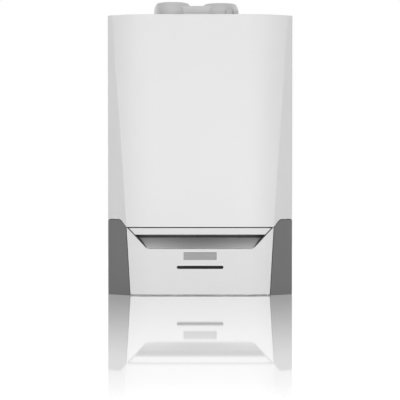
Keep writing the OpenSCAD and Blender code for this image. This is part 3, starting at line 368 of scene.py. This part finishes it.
clouds, c_in, c_out = new_group(
    "soft_clouds", {"Scale": 28.0, "Tint": 0.3, "Gloss low": 0.25, "Gloss high": 0.5}
)
puff = noise(clouds, c_in, c_in.outputs["Scale"], 5.0)
skin = noise(clouds, c_in, 600.0, 3.0)
put_out(clouds, c_in, c_out, puff, puff, skin, glosses=("Gloss high", "Gloss low"))

# %% [markdown]
# ## Materials
# One helper puts a group and a Principled shader together. What changes over the surface
# comes through the group. What is the same everywhere, such as the metal share, is set
# straight on the shader, where the export finds it.

# %% The finish helper
FINISHES = {}


def finish(name, group, color, numbers, bump, metallic=0.0, specular=0.5):
    """Keeps a material of one group: numbers are the group's own, bump is metres of lift."""
    material = bpy.data.materials.new(name)
    material.use_nodes = True
    tree = material.node_tree
    shader = tree.nodes["Principled BSDF"]
    place = tree.nodes.new("ShaderNodeTexCoord")
    effect = tree.nodes.new("ShaderNodeGroup")
    effect.node_tree = group
    effect.inputs["Color"].default_value = (*color, 1)
    for title, value in numbers.items():
        effect.inputs[title].default_value = value
    lift = tree.nodes.new("ShaderNodeBump")
    lift.inputs["Strength"].default_value = 1.0
    lift.inputs["Distance"].default_value = bump
    tree.links.new(place.outputs["Object"], effect.inputs["Vector"])
    tree.links.new(effect.outputs["Color"], shader.inputs["Base Color"])
    tree.links.new(effect.outputs["Roughness"], shader.inputs["Roughness"])
    tree.links.new(effect.outputs["Height"], lift.inputs["Height"])
    tree.links.new(lift.outputs["Normal"], shader.inputs["Normal"])
    shader.inputs["Metallic"].default_value = metallic
    shader.inputs["Specular IOR Level"].default_value = specular
    FINISHES[name] = material


def grey(level):
    """A colour with the same share of red, green and blue."""
    return (level, level, level)


def gloss(low, high, tint, **more):
    """The group's numbers in one short form."""
    return {"Gloss low": low, "Gloss high": high, "Tint": tint, **more}


print("finish helper ready")

# %% [markdown]
# ### Paint and plastics
# The casing is powder coated in satin white. The skirt posts, the grip and the flue
# adapter are moulded in greys, and the slot, the display and the keys are black. Each call
# gives a finish's effect, its colour, the effect's numbers and the height of its grain.

# %% Mix paint and plastics
finish("white_paint", grain, grey(0.80), gloss(0.40, 0.47, 0.015, Scale=1500), 0.00001, specular=0.4)
finish("white_plastic", grain, grey(0.78), gloss(0.44, 0.52, 0.015, Scale=1200), 0.00001, specular=0.35)
finish("post_grey", grain, grey(0.17), gloss(0.38, 0.5, 0.06, Scale=1400), 0.00002)
finish("grip_grey", grain, grey(0.52), gloss(0.4, 0.5, 0.05, Scale=1400), 0.00002)
finish("adapter_grey", grain, grey(0.64), gloss(0.45, 0.55, 0.05, Scale=900), 0.00003)
finish("box_grey", grain, (0.62, 0.62, 0.63), gloss(0.45, 0.55, 0.05, Scale=1400), 0.00003)
finish("flue_plastic", grain, (0.80, 0.80, 0.78), gloss(0.35, 0.45, 0.04, Scale=700), 0.00002)
finish("dark_plastic", grain, (0.045, 0.045, 0.048), gloss(0.4, 0.55, 0.15, Scale=1400), 0.00003)
finish(
    "black_gloss", grain, (0.006, 0.006, 0.007), gloss(0.1, 0.16, 0.1, Scale=500), 0.000003, specular=0.14
)
finish("black_rubber", grain, grey(0.02), gloss(0.65, 0.8, 0.2, Scale=1100), 0.00004, specular=0.25)
finish(
    "slot_black", grain, (0.008, 0.008, 0.009), gloss(0.42, 0.5, 0.1, Scale=700), 0.000005, specular=0.1
)
# Painted shade: this black is for the scoop's lip, its flanges and its end bands, where shadow falls
finish("painted_shade_black", grain, grey(0.07), gloss(0.5, 0.65, 0.15, Scale=1100), 0.00003)
print("paint and plastics mixed:", len(FINISHES))

# %% [markdown]
# ### Painted shade and light in the grip
# The pocket's colour carries painted shade and painted light. It is darker towards the top,
# where the strip shades the wall under it, and lighter on the floor and at the two ends,
# where more light falls. A small group reads the height and the place across from the
# Object coordinates and puts out a tinted colour.

# %% Paint shade and light into the grip
# Painted shade and light: lighter at the pocket's floor, darker at its top, lighter at its two ends
FLOOR_TONE, TOP_TONE = 1.35, 0.5
MIDDLE_TONE, END_TONE = 0.95, 1.4
painted_pocket_shading, shading_in, shading_out = new_group("painted_pocket_shading", {"Floor": 0.127, "Top": 0.156, "Half width": 0.16})
shading_place = painted_pocket_shading.nodes.new("ShaderNodeSeparateXYZ")
painted_pocket_shading.links.new(shading_in.outputs["Vector"], shading_place.inputs[0])
foot, top, half = (shading_in.outputs[title] for title in ("Floor", "Top", "Half width"))
shading_height = spread(painted_pocket_shading, shading_place.outputs["Z"], FLOOR_TONE, TOP_TONE, foot, top)
shading_aside = math_node(painted_pocket_shading, "ABSOLUTE", shading_place.outputs["X"])
shading_ends = spread(painted_pocket_shading, shading_aside, MIDDLE_TONE, END_TONE, 0.0, half, "SMOOTHSTEP")
shading_both = math_node(painted_pocket_shading, "MULTIPLY", shading_height, shading_ends)
painted_pocket_shading.links.new(shaded(painted_pocket_shading, shading_in, shading_both), shading_out.inputs["Color"])

# The painted shade and light tint the grip's colour before it reaches the shader
grip_tree = FINISHES["grip_grey"].node_tree
pocket_shading = grip_tree.nodes.new("ShaderNodeGroup")
pocket_shading.node_tree = painted_pocket_shading
grip_effect = next(n for n in grip_tree.nodes if n.type == "GROUP" and n.node_tree == grain)
grip_place = next(n for n in grip_tree.nodes if n.type == "TEX_COORD")
grip_tree.links.new(grip_place.outputs["Object"], pocket_shading.inputs["Vector"])
grip_tree.links.new(grip_effect.outputs["Color"], pocket_shading.inputs["Color"])
grip_tree.links.new(pocket_shading.outputs["Color"], grip_tree.nodes["Principled BSDF"].inputs["Base Color"])
print("effect", painted_pocket_shading.name)

# %% [markdown]
# ### Metals and the rest
# The frame is zinc-plated steel, the heat exchanger stainless, the castings aluminium and
# the pipes copper with brass fittings. The board is green, the electrode white ceramic.

# %% Mix metals and the rest
finish("zinc_steel", zinc, (0.52, 0.53, 0.55), gloss(0.45, 0.6, 0.14), 0.00002, metallic=1.0)
finish("stainless_steel", streaks_deep, (0.66, 0.65, 0.63), gloss(0.22, 0.38, 0.14), 0.00001, metallic=1.0)
finish("cast_aluminium", clouds, (0.60, 0.60, 0.61), gloss(0.45, 0.65, 0.18, Scale=60), 0.0002, metallic=1.0)
finish("copper", clouds, (0.75, 0.36, 0.22), gloss(0.2, 0.4, 0.35, Scale=24), 0.00001, metallic=1.0)
finish("brass", clouds, (0.74, 0.55, 0.25), gloss(0.2, 0.4, 0.25, Scale=30), 0.00001, metallic=1.0)
finish("badge_silver", streaks_across, (0.31, 0.31, 0.315), gloss(0.5, 0.6, 0.12), 0.000004, metallic=0.2)
finish("board_green", grain, (0.02, 0.16, 0.06), gloss(0.2, 0.35, 0.25, Scale=200), 0.00002)
finish("electrode_ceramic", grain, (0.82, 0.80, 0.75), gloss(0.15, 0.3, 0.06, Scale=300), 0.00001)
print(len(FINISHES), "finishes")

# %% [markdown]
# ## Finish every carried-over node
# The record names a material slot for each node, and the finishes here have the same
# names, so the table of nodes is read from the record instead of being typed twice.

# %% Give each node its finish
slot_of = {s["node"]: s["material_slot"] for s in frame["record"]["subparts"]}
for name, node in nodes.items():
    node.data.materials.clear()
    node.data.materials.append(FINISHES[slot_of[name]])
dressed = [n for n in nodes.values() if n.data.materials[0] in FINISHES.values()]
print("finished", len(dressed), "nodes of", len(slot_of))

# %% [markdown]
# ## Outer shells with soft edges
# Pressed sheet and moulded panels never end in a knife edge: the bend has a radius, and
# that radius catches the bright lines along every joint. The exact model keeps its edges
# sharp, so each outer piece is a copy of its node with its flat triangles dissolved and
# its outer edges bevelled. Modelling each shell again from a block would only risk that
# it no longer fits its neighbours.

# %% Copy a node and pick its edges
COPY_MERGE = 0.00002
FLAT = math.radians(0.3)


def only(piece):
    """Selects one object and nothing else."""
    bpy.ops.object.select_all(action="DESELECT")
    piece.hide_set(False)
    piece.select_set(True)
    bpy.context.view_layer.objects.active = piece


def copied(node_name, name):
    """A merged copy of a node's mesh as a new piece, with its loose triangles joined up."""
    piece = bpy.data.objects.new(name, nodes[node_name].data.copy())
    scene.collection.objects.link(piece)
    only(piece)
    bpy.ops.mesh.customdata_custom_splitnormals_clear()
    bpy.ops.object.mode_set(mode="EDIT")
    bpy.ops.mesh.select_all(action="SELECT")
    bpy.ops.mesh.remove_doubles(threshold=COPY_MERGE)
    bpy.ops.mesh.dissolve_limited(angle_limit=FLAT)
    bpy.ops.object.mode_set(mode="OBJECT")
    return piece


def pick_edges(piece, wanted):
    """Selects the edges for which wanted(angle, low, high) is true; outward bends are positive."""
    mesh = bmesh.new()
    mesh.from_mesh(piece.data)
    chosen = []
    for edge in mesh.edges:
        angle = edge.calc_face_angle_signed(0.0)
        a, b = edge.verts[0].co, edge.verts[1].co
        if wanted(angle, Vector(map(min, a, b)), Vector(map(max, a, b))):
            chosen.append(edge.index)
    mesh.free()
    only(piece)
    bpy.ops.object.mode_set(mode="EDIT")
    bpy.ops.mesh.select_all(action="DESELECT")
    bpy.ops.object.mode_set(mode="OBJECT")
    for index in chosen:
        piece.data.edges[index].select = True
    return len(chosen)


print("copying helpers ready")

# %% [markdown]
# ### Round, smooth and put in place
# Bevel turns the picked edges into small bends. Smooth shading alone would then pull the
# shine of a bend over the flat face beside it, so Weighted Normal keeps large faces flat
# to the eye. Last, the piece takes over its node's place, body and slot.

# %% Round a piece and let it stand in
SMOOTH = math.radians(32)


def smoothed(piece):
    """Shades a piece smooth over its bends, with its large flat faces kept flat to the eye."""
    bpy.ops.object.shade_smooth_by_angle(angle=SMOOTH)
    bpy.ops.object.modifier_add(type="WEIGHTED_NORMAL")
    weight = piece.modifiers[-1]
    weight.keep_sharp = True
    bpy.ops.object.modifier_apply(modifier=weight.name)


def rounded(piece, radius, steps, wanted):
    """Bevels the picked edges of a piece and shades it smooth."""
    count = pick_edges(piece, wanted)
    bpy.ops.object.mode_set(mode="EDIT")
    bpy.ops.mesh.select_mode(type="EDGE")
    bpy.ops.mesh.bevel(
        offset=radius, segments=steps, affect="EDGES", clamp_overlap=True, harden_normals=False
    )
    bpy.ops.object.mode_set(mode="OBJECT")
    smoothed(piece)
    print(piece.name, "rounded", count, "edges,", len(piece.data.polygons), "faces")


def stand_in(piece, node_name, body, look):
    """Puts a piece in a node's place, on its body and with the finish of a name."""
    piece.data.materials.clear()
    piece.data.materials.append(FINISHES[look])
    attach(piece, body)
    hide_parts(node_name)


print("rounding helpers ready")

# %% [markdown]
# ### Front cover
# The cover is one pressed shell: its bowed front turns through two leaning creases into
# flat corner facets. The creases are soft bends of a few millimetres and the outer rim is
# rolled a little, which gives the bright line over the joint at its foot. Creases and rim
# bend by more than 14 degrees. The edges round the open back stay sharp, as cut sheet is.

# %% Round the front cover
CREASE = math.radians(14)
COVER_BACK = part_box("front_cover")[1].y


def cover_rim(angle, low, high):
    """The creases and the front rim, but not the edges round the open back."""
    return angle > CREASE and low.y < COVER_BACK - 0.004 and high.y < COVER_BACK - 0.0005


cover_shell = copied("front_cover", "cover_shell")
rounded(cover_shell, radius=0.0016, steps=4, wanted=cover_rim)
stand_in(cover_shell, "front_cover", "front_cover", "white_paint")

# %% [markdown]
# ### Lower door
# The door is moulded, with a crisp but rounded edge at every outward corner, also round
# the grip recess.

# %% Round the lower door
DOOR_CORNER = math.radians(30)
lower_panel = copied("lower_door", "lower_panel")
rounded(lower_panel, radius=0.0011, steps=3, wanted=lambda angle, low, high: angle > DOOR_CORNER)
stand_in(lower_panel, "lower_door", "lower_door", "white_plastic")

# %% [markdown]
# ### Slot window
# The dark slot has fully round ends. A bar with rounded ends is added twice: a slightly
# larger one cuts its opening out of the door with a Boolean, and the other one, with a
# softly broken front edge, is the dark window that fills it.

# %% Cut the slot and fill it
SLOT_Z = 0.0757
SLOT_W, SLOT_H = 0.1250, 0.0084
SLOT_PLAY = 0.0002
CUT_FRONT, CUT_BACK = -0.2520, -0.2440
WINDOW_FRONT, WINDOW_BACK = -0.2495, -0.2474
ROUND_END, END_STEPS = 0.42, 6
RIM_CORNER = math.radians(60)


def slot_bar(name, width, height, front, back):
    """A bar with rounded ends across the slot, from one depth to another."""
    bpy.ops.object.select_all(action="DESELECT")
    place = (0, (front + back) / 2, SLOT_Z)
    bpy.ops.mesh.primitive_cube_add(size=1, location=place, scale=(width, back - front, height))
    bar = bpy.context.object
    bar.name = name
    bpy.ops.object.transform_apply(location=True, rotation=True, scale=True)
    rounded(bar, height * ROUND_END, END_STEPS, lambda angle, low, high: high.y - low.y > 0.001)
    return bar


def window_rim(angle, low, high):
    """The edges round the window's front."""
    return angle > RIM_CORNER and high.y < WINDOW_FRONT + 0.0001


cutter = slot_bar("slot_cutter", SLOT_W, SLOT_H, CUT_FRONT, CUT_BACK)
slot_window = slot_bar("slot_window", SLOT_W - SLOT_PLAY, SLOT_H - SLOT_PLAY, WINDOW_FRONT, WINDOW_BACK)
only(lower_panel)
bpy.ops.object.modifier_add(type="BOOLEAN")
cut = lower_panel.modifiers[-1]
cut.object = cutter
cut.operation = "DIFFERENCE"
cut.solver = "EXACT"
bpy.ops.object.modifier_apply(modifier=cut.name)
bpy.data.objects.remove(cutter)
smoothed(lower_panel)
rounded(slot_window, radius=0.0004, steps=2, wanted=window_rim)
stand_in(slot_window, "slot_lens", "lower_door", "slot_black")

# %% [markdown]
# ### Corner posts and strip
# The grey posts and the white strip over the grip get the same treatment, with radii that
# suit their wall.

# %% Round the posts and the strip
POST_BACK = -0.161
STRIP_CORNER = math.radians(40)
for side in ("left", "right"):
    post = copied(f"corner_post_{side}", f"skirt_post_{side}")
    rounded(post, 0.0014, 3, lambda angle, low, high: angle > CREASE and high.y < POST_BACK)
    stand_in(post, f"corner_post_{side}", "chassis", "post_grey")

grip_strip = copied("cover_grip_strip", "grip_strip")
rounded(grip_strip, 0.0008, 3, lambda angle, low, high: angle > STRIP_CORNER)
stand_in(grip_strip, "cover_grip_strip", "front_cover", "white_plastic")

# %% [markdown]
# ### Flue adapter
# The adapter is one moulding: the web flows into the two sockets with a fillet, and the
# sockets' mouths have a rounded rim. The inward corners of a merged copy are bevelled to
# the fillet first, and the outward ones to a small radius after that. What lies less than
# 40 mm above the casing stays as it is.

# %% Round the adapter
ADAPTER_SUNK, FOOT_HEIGHT = 0.030, 0.04
SOCKET_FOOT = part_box("flue_adapter")[0].z + ADAPTER_SUNK + FOOT_HEIGHT
FILLET = math.radians(-25)
MOUTH = math.radians(50)
adapter_body = copied("flue_adapter", "adapter_body")
rounded(adapter_body, 0.006, 4, lambda angle, low, high: angle < FILLET and low.z > SOCKET_FOOT)
rounded(adapter_body, 0.0012, 2, lambda angle, low, high: angle > MOUTH and low.z > SOCKET_FOOT)
stand_in(adapter_body, "flue_adapter", "chassis", "adapter_grey")

# %% [markdown]
# ### Grip scoop
# The pocket for the fingers is moulded: a curved floor that rises towards the back, two
# leaning side walls with a little draft, and over them a short back wall with a lip that
# curls forward under the strip. The lip follows a circle round the hinge pins, so that it
# still passes under the strip when the door swings down. A pocket could be pressed out of
# a block with a Boolean, but its floor follows an arc, so its outline is laid out first.

# %% Lay out the scoop's outline
HINGE = Vector((0, -0.242, 0.014))
BOW_X, BOW_R, FACE = 0.125, 0.2468, -0.250
RECESS_FOOT, RECESS_HALF, RECESS_LEAN = 0.125, 0.1425, 0.95
SCOOP_FRONT, SCOOP_DEPTH, SCOOP_STEPS = -0.2469, 0.0449, 12
ARC_Y, ARC_Z, ARC_R = -0.278, 0.231, 0.109
LIP_FOOT, LIP_R = 0.1542, 0.1484
LIP_PLACES = (-0.2020, -0.206, -0.212, -0.219, -0.226, -0.232, -0.238)


def face_y(x):
    """The front face's depth at a place across the boiler: flat in the middle, bowed outside."""
    over = max(abs(x) - BOW_X, 0.0)
    return FACE + BOW_R - math.sqrt(BOW_R**2 - over**2)


def recess_half(z):
    """Half the width of the grip recess at a height."""
    return RECESS_HALF + RECESS_LEAN * (z - RECESS_FOOT)


outline = []
for step in range(SCOOP_STEPS + 1):
    y = SCOOP_FRONT + step * (SCOOP_DEPTH / SCOOP_STEPS)
    outline.append((y, ARC_Z - math.sqrt(ARC_R**2 - (y - ARC_Y) ** 2)))
curl = [(LIP_PLACES[0], LIP_FOOT)]
for y in LIP_PLACES:
    curl.append((y, HINGE.z + math.sqrt(LIP_R**2 - (y - HINGE.y) ** 2)))
print("scoop outline from", outline[0], "to", outline[-1], "curl to", curl[-1])

# %% [markdown]
# ### Sheets laid along an outline
# A thin moulded sheet is easiest to make as a flat grid with one row for each step of its
# outline. The rows are laid along the outline, and Solidify gives the sheet its wall.

# %% Lay a grid and give it a wall
SHEET_MERGE = 0.00001


def laid_grid(name, rows):
    """Adds a grid and lays its rows of points along the given ones."""
    bpy.ops.object.select_all(action="DESELECT")
    across, along = len(rows[0]) - 1, len(rows) - 1
    bpy.ops.mesh.primitive_grid_add(x_subdivisions=across, y_subdivisions=along, size=2)
    piece = bpy.context.object
    piece.name = name
    for point in piece.data.vertices:
        column = round((point.co.x + 1) / 2 * across)
        row = round((point.co.y + 1) / 2 * along)
        point.co = rows[row][column]
    return piece


def walled(piece, thickness, offset):
    """Gives a sheet its wall, merges what touches and turns the faces outwards."""
    only(piece)
    bpy.ops.object.modifier_add(type="SOLIDIFY")
    wall = piece.modifiers[-1]
    wall.thickness = thickness
    wall.offset = offset
    wall.use_even_offset = True
    bpy.ops.object.modifier_apply(modifier=wall.name)
    bpy.ops.object.mode_set(mode="EDIT")
    bpy.ops.mesh.select_all(action="SELECT")
    bpy.ops.mesh.remove_doubles(threshold=SHEET_MERGE)
    bpy.ops.mesh.normals_make_consistent(inside=False)
    bpy.ops.object.mode_set(mode="OBJECT")


print("grid helpers ready")

# %% [markdown]
# ### The scoop itself
# Each row of the scoop is straight across, and turns forward at both ends to tuck into the
# door's wall. The side walls lean inwards by the draft that lets a moulding leave its
# mould. A narrow band beside the door's wall is painted black as shade, for the shadow
# that falls in that joint.

# %% Lay the scoop
DOOR_WALL = 0.003
DRAFT = 0.10
TUCK_ASIDE, TUCK_DEEP = 0.0003, 0.0004
HALF_COLUMNS = 8
JOINT_SHADE_BAND = 0.0035
POCKET_SMOOTH = math.radians(40)


def pocket_row(y, z):
    """One row of the pocket: forward to the door at both ends, and straight across between."""
    edge = recess_half(z) + TUCK_ASIDE
    front = face_y(edge) + DOOR_WALL - TUCK_DEEP
    side = recess_half(z) - DRAFT * max(y - front, 0.0)
    places = [side * k / HALF_COLUMNS for k in range(-HALF_COLUMNS, HALF_COLUMNS + 1)]
    row = [Vector((x, max(y, face_y(x) + DOOR_WALL), z)) for x in places]
    return [Vector((-edge, front, z)), *row, Vector((edge, front, z))]


grip_scoop = laid_grid("grip_scoop", [pocket_row(y, z) for y, z in outline])
walled(grip_scoop, thickness=0.0012, offset=1.0)
bpy.ops.object.shade_smooth_by_angle(angle=POCKET_SMOOTH)
stand_in(grip_scoop, "grip_tray", "lower_door", "grip_grey")
# The band along the door's wall takes the black of painted shade
grip_scoop.data.materials.append(FINISHES["painted_shade_black"])
for face in grip_scoop.data.polygons:
    if abs(face.center.x) > recess_half(face.center.z) - JOINT_SHADE_BAND:
        face.material_index = 1
print("scoop", [round(v, 4) for v in grip_scoop.dimensions])

# %% [markdown]
# ### Scoop lip
# A soft lip on the scoop's top edge closes the slit under the strip, so that nobody
# sees the pipes behind it. Its black is painted shade, for the shadow in that slit. It is
# laid the same way, on the circle round the hinge pins.

# %% Lay the lip
scoop_lip = laid_grid("scoop_lip", [pocket_row(y, z) for y, z in curl])
walled(scoop_lip, thickness=0.0014, offset=1.0)
bpy.ops.object.shade_smooth_by_angle(angle=POCKET_SMOOTH)
scoop_lip.data.materials.append(FINISHES["painted_shade_black"])
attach(scoop_lip, "lower_door")
reach = max((p.co.yz - HINGE.yz).length for p in scoop_lip.data.vertices)
print("lip", [round(v, 4) for v in scoop_lip.dimensions], "reaches", round(reach, 5), "from the hinge")

# %% [markdown]
# ### Flanges beside the strip
# The strip ends a few millimetres short of the recess's leaning edges. On the moulded door
# a narrow flange stands behind each of these gaps, so that no inside piece shows through.
# Their black is painted shade, for the shadow in these gaps. Each is a small leaning grid
# behind the edge, mirrored by its own row of places.

# %% Lay the flanges
FLANGE_FOOT, FLANGE_HEIGHT, FLANGE_ROWS = 0.150, 0.0315, 6
FLANGE_INSIDE, FLANGE_WIDTH, FLANGE_COLUMNS = 0.0037, 0.0056, 4
FLANGE_DEPTH = 0.0035
flange_z = [FLANGE_FOOT + FLANGE_HEIGHT * k / FLANGE_ROWS for k in range(FLANGE_ROWS + 1)]
flange_steps = [FLANGE_WIDTH * k / FLANGE_COLUMNS for k in range(FLANGE_COLUMNS + 1)]
for name, side in (("left", -1), ("right", 1)):
    rows = []
    for z in flange_z:
        places = [recess_half(z) - FLANGE_INSIDE + step for step in flange_steps]
        rows.append([Vector((side * x, face_y(x) + FLANGE_DEPTH, z)) for x in places])
    flange = laid_grid(f"scoop_flange_{name}", rows)
    walled(flange, thickness=0.0010, offset=0.0)
    # Painted shade: the flange is black for the shadow in its gap
    flange.data.materials.append(FINISHES["painted_shade_black"])
    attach(flange, "lower_door")
    print(flange.name, [round(v, 4) for v in flange.dimensions])

# %% [markdown]
# ### Joint bead and hem
# A thin black bead lies between the cover's lower edge and the strip, and draws the dark
# line that runs across the whole front. Its black is painted shadow, for the shade that
# falls in that joint. It could be a cut in the strip, but a bead keeps both white edges
# rounded. It is a narrow grid that follows the bow, with a wall. A shorter one in white is
# the strip's hem. It is the strip's own lower edge drawn down a little, and it narrows the
# slit over the scoop's lip to what the door needs to swing.

# %% Lay the bead and the hem
BEAD_WALL = 0.0016
BEAD_HALF, BEAD_STEPS, BEAD_DEPTH = 0.1925, 44, 0.0016
BEAD_HEIGHTS = (0.1810, 0.1825, 0.1839)
HEM_TOP, HEM_SHORT = 0.1645, 0.0048
HEM_HALF_STEPS, HEM_DEPTH = 20, 0.0023
HEM_HEIGHTS = (0.1636, 0.1643, 0.1651)


def laid_bead(name, places, depth, heights):
    """A bead along the bowed front: its places across, its depth behind the face, its rows."""
    bead = laid_grid(name, [[Vector((x, face_y(x) + depth, z)) for x in places] for z in heights])
    walled(bead, thickness=BEAD_WALL, offset=-1.0)
    return bead


bead_x = [-BEAD_HALF + 2 * BEAD_HALF * k / BEAD_STEPS for k in range(BEAD_STEPS + 1)]
# Painted shadow: the bead's black draws the shade in the joint under the cover
joint_shadow_bead = laid_bead("joint_shadow_bead", bead_x, BEAD_DEPTH, BEAD_HEIGHTS)
hem_half = recess_half(HEM_TOP) - HEM_SHORT
hem_x = [hem_half * k / HEM_HALF_STEPS for k in range(-HEM_HALF_STEPS, HEM_HALF_STEPS + 1)]
strip_hem = laid_bead("strip_hem", hem_x, HEM_DEPTH, HEM_HEIGHTS)
for bead, slot in ((joint_shadow_bead, "black_rubber"), (strip_hem, "white_plastic")):
    bead.data.materials.append(FINISHES[slot])
    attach(bead, "front_cover")
    corner = [min(c[k] for c in bead.bound_box) for k in range(3)]
    print(bead.name, "front", round(corner[1], 5), "foot", round(corner[2], 5))
hem_gap = min((p.co.yz - HINGE.yz).length for p in strip_hem.data.vertices) - reach
print("the hem clears the lip by", round(hem_gap * 1000, 2), "mm")

# %% [markdown]
# ### Badge plate
# The place for a badge stays blank. It is a satin plate with a thin raised rim: a block
# whose front is inset and pushed back, with every edge broken.

# %% Press the badge plate
RIM_WIDTH, RIM_DEPTH = 0.0011, 0.00045


def pick_faces(piece, wanted):
    """Selects the faces for which wanted(normal) is true."""
    only(piece)
    bpy.ops.object.mode_set(mode="EDIT")
    bpy.ops.mesh.select_mode(type="FACE")
    bpy.ops.mesh.select_all(action="DESELECT")
    bpy.ops.object.mode_set(mode="OBJECT")
    for face in piece.data.polygons:
        face.select = wanted(face.normal)


badge_low, badge_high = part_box("badge_plate")
badge_middle = (badge_low + badge_high) / 2
bpy.ops.object.select_all(action="DESELECT")
bpy.ops.mesh.primitive_cube_add(size=1, location=badge_middle, scale=badge_high - badge_low)
badge_blank = bpy.context.object
badge_blank.name = "badge_blank"
bpy.ops.object.transform_apply(location=True, rotation=True, scale=True)
pick_faces(badge_blank, lambda normal: normal.y < -0.9)
bpy.ops.object.mode_set(mode="EDIT")
bpy.ops.mesh.inset(thickness=RIM_WIDTH)
bpy.ops.mesh.extrude_region_move(TRANSFORM_OT_translate={"value": (0, RIM_DEPTH, 0)})
bpy.ops.object.mode_set(mode="OBJECT")
rounded(badge_blank, 0.00022, 2, lambda angle, low, high: angle > RIM_CORNER)
stand_in(badge_blank, "badge_plate", "lower_door", "badge_silver")
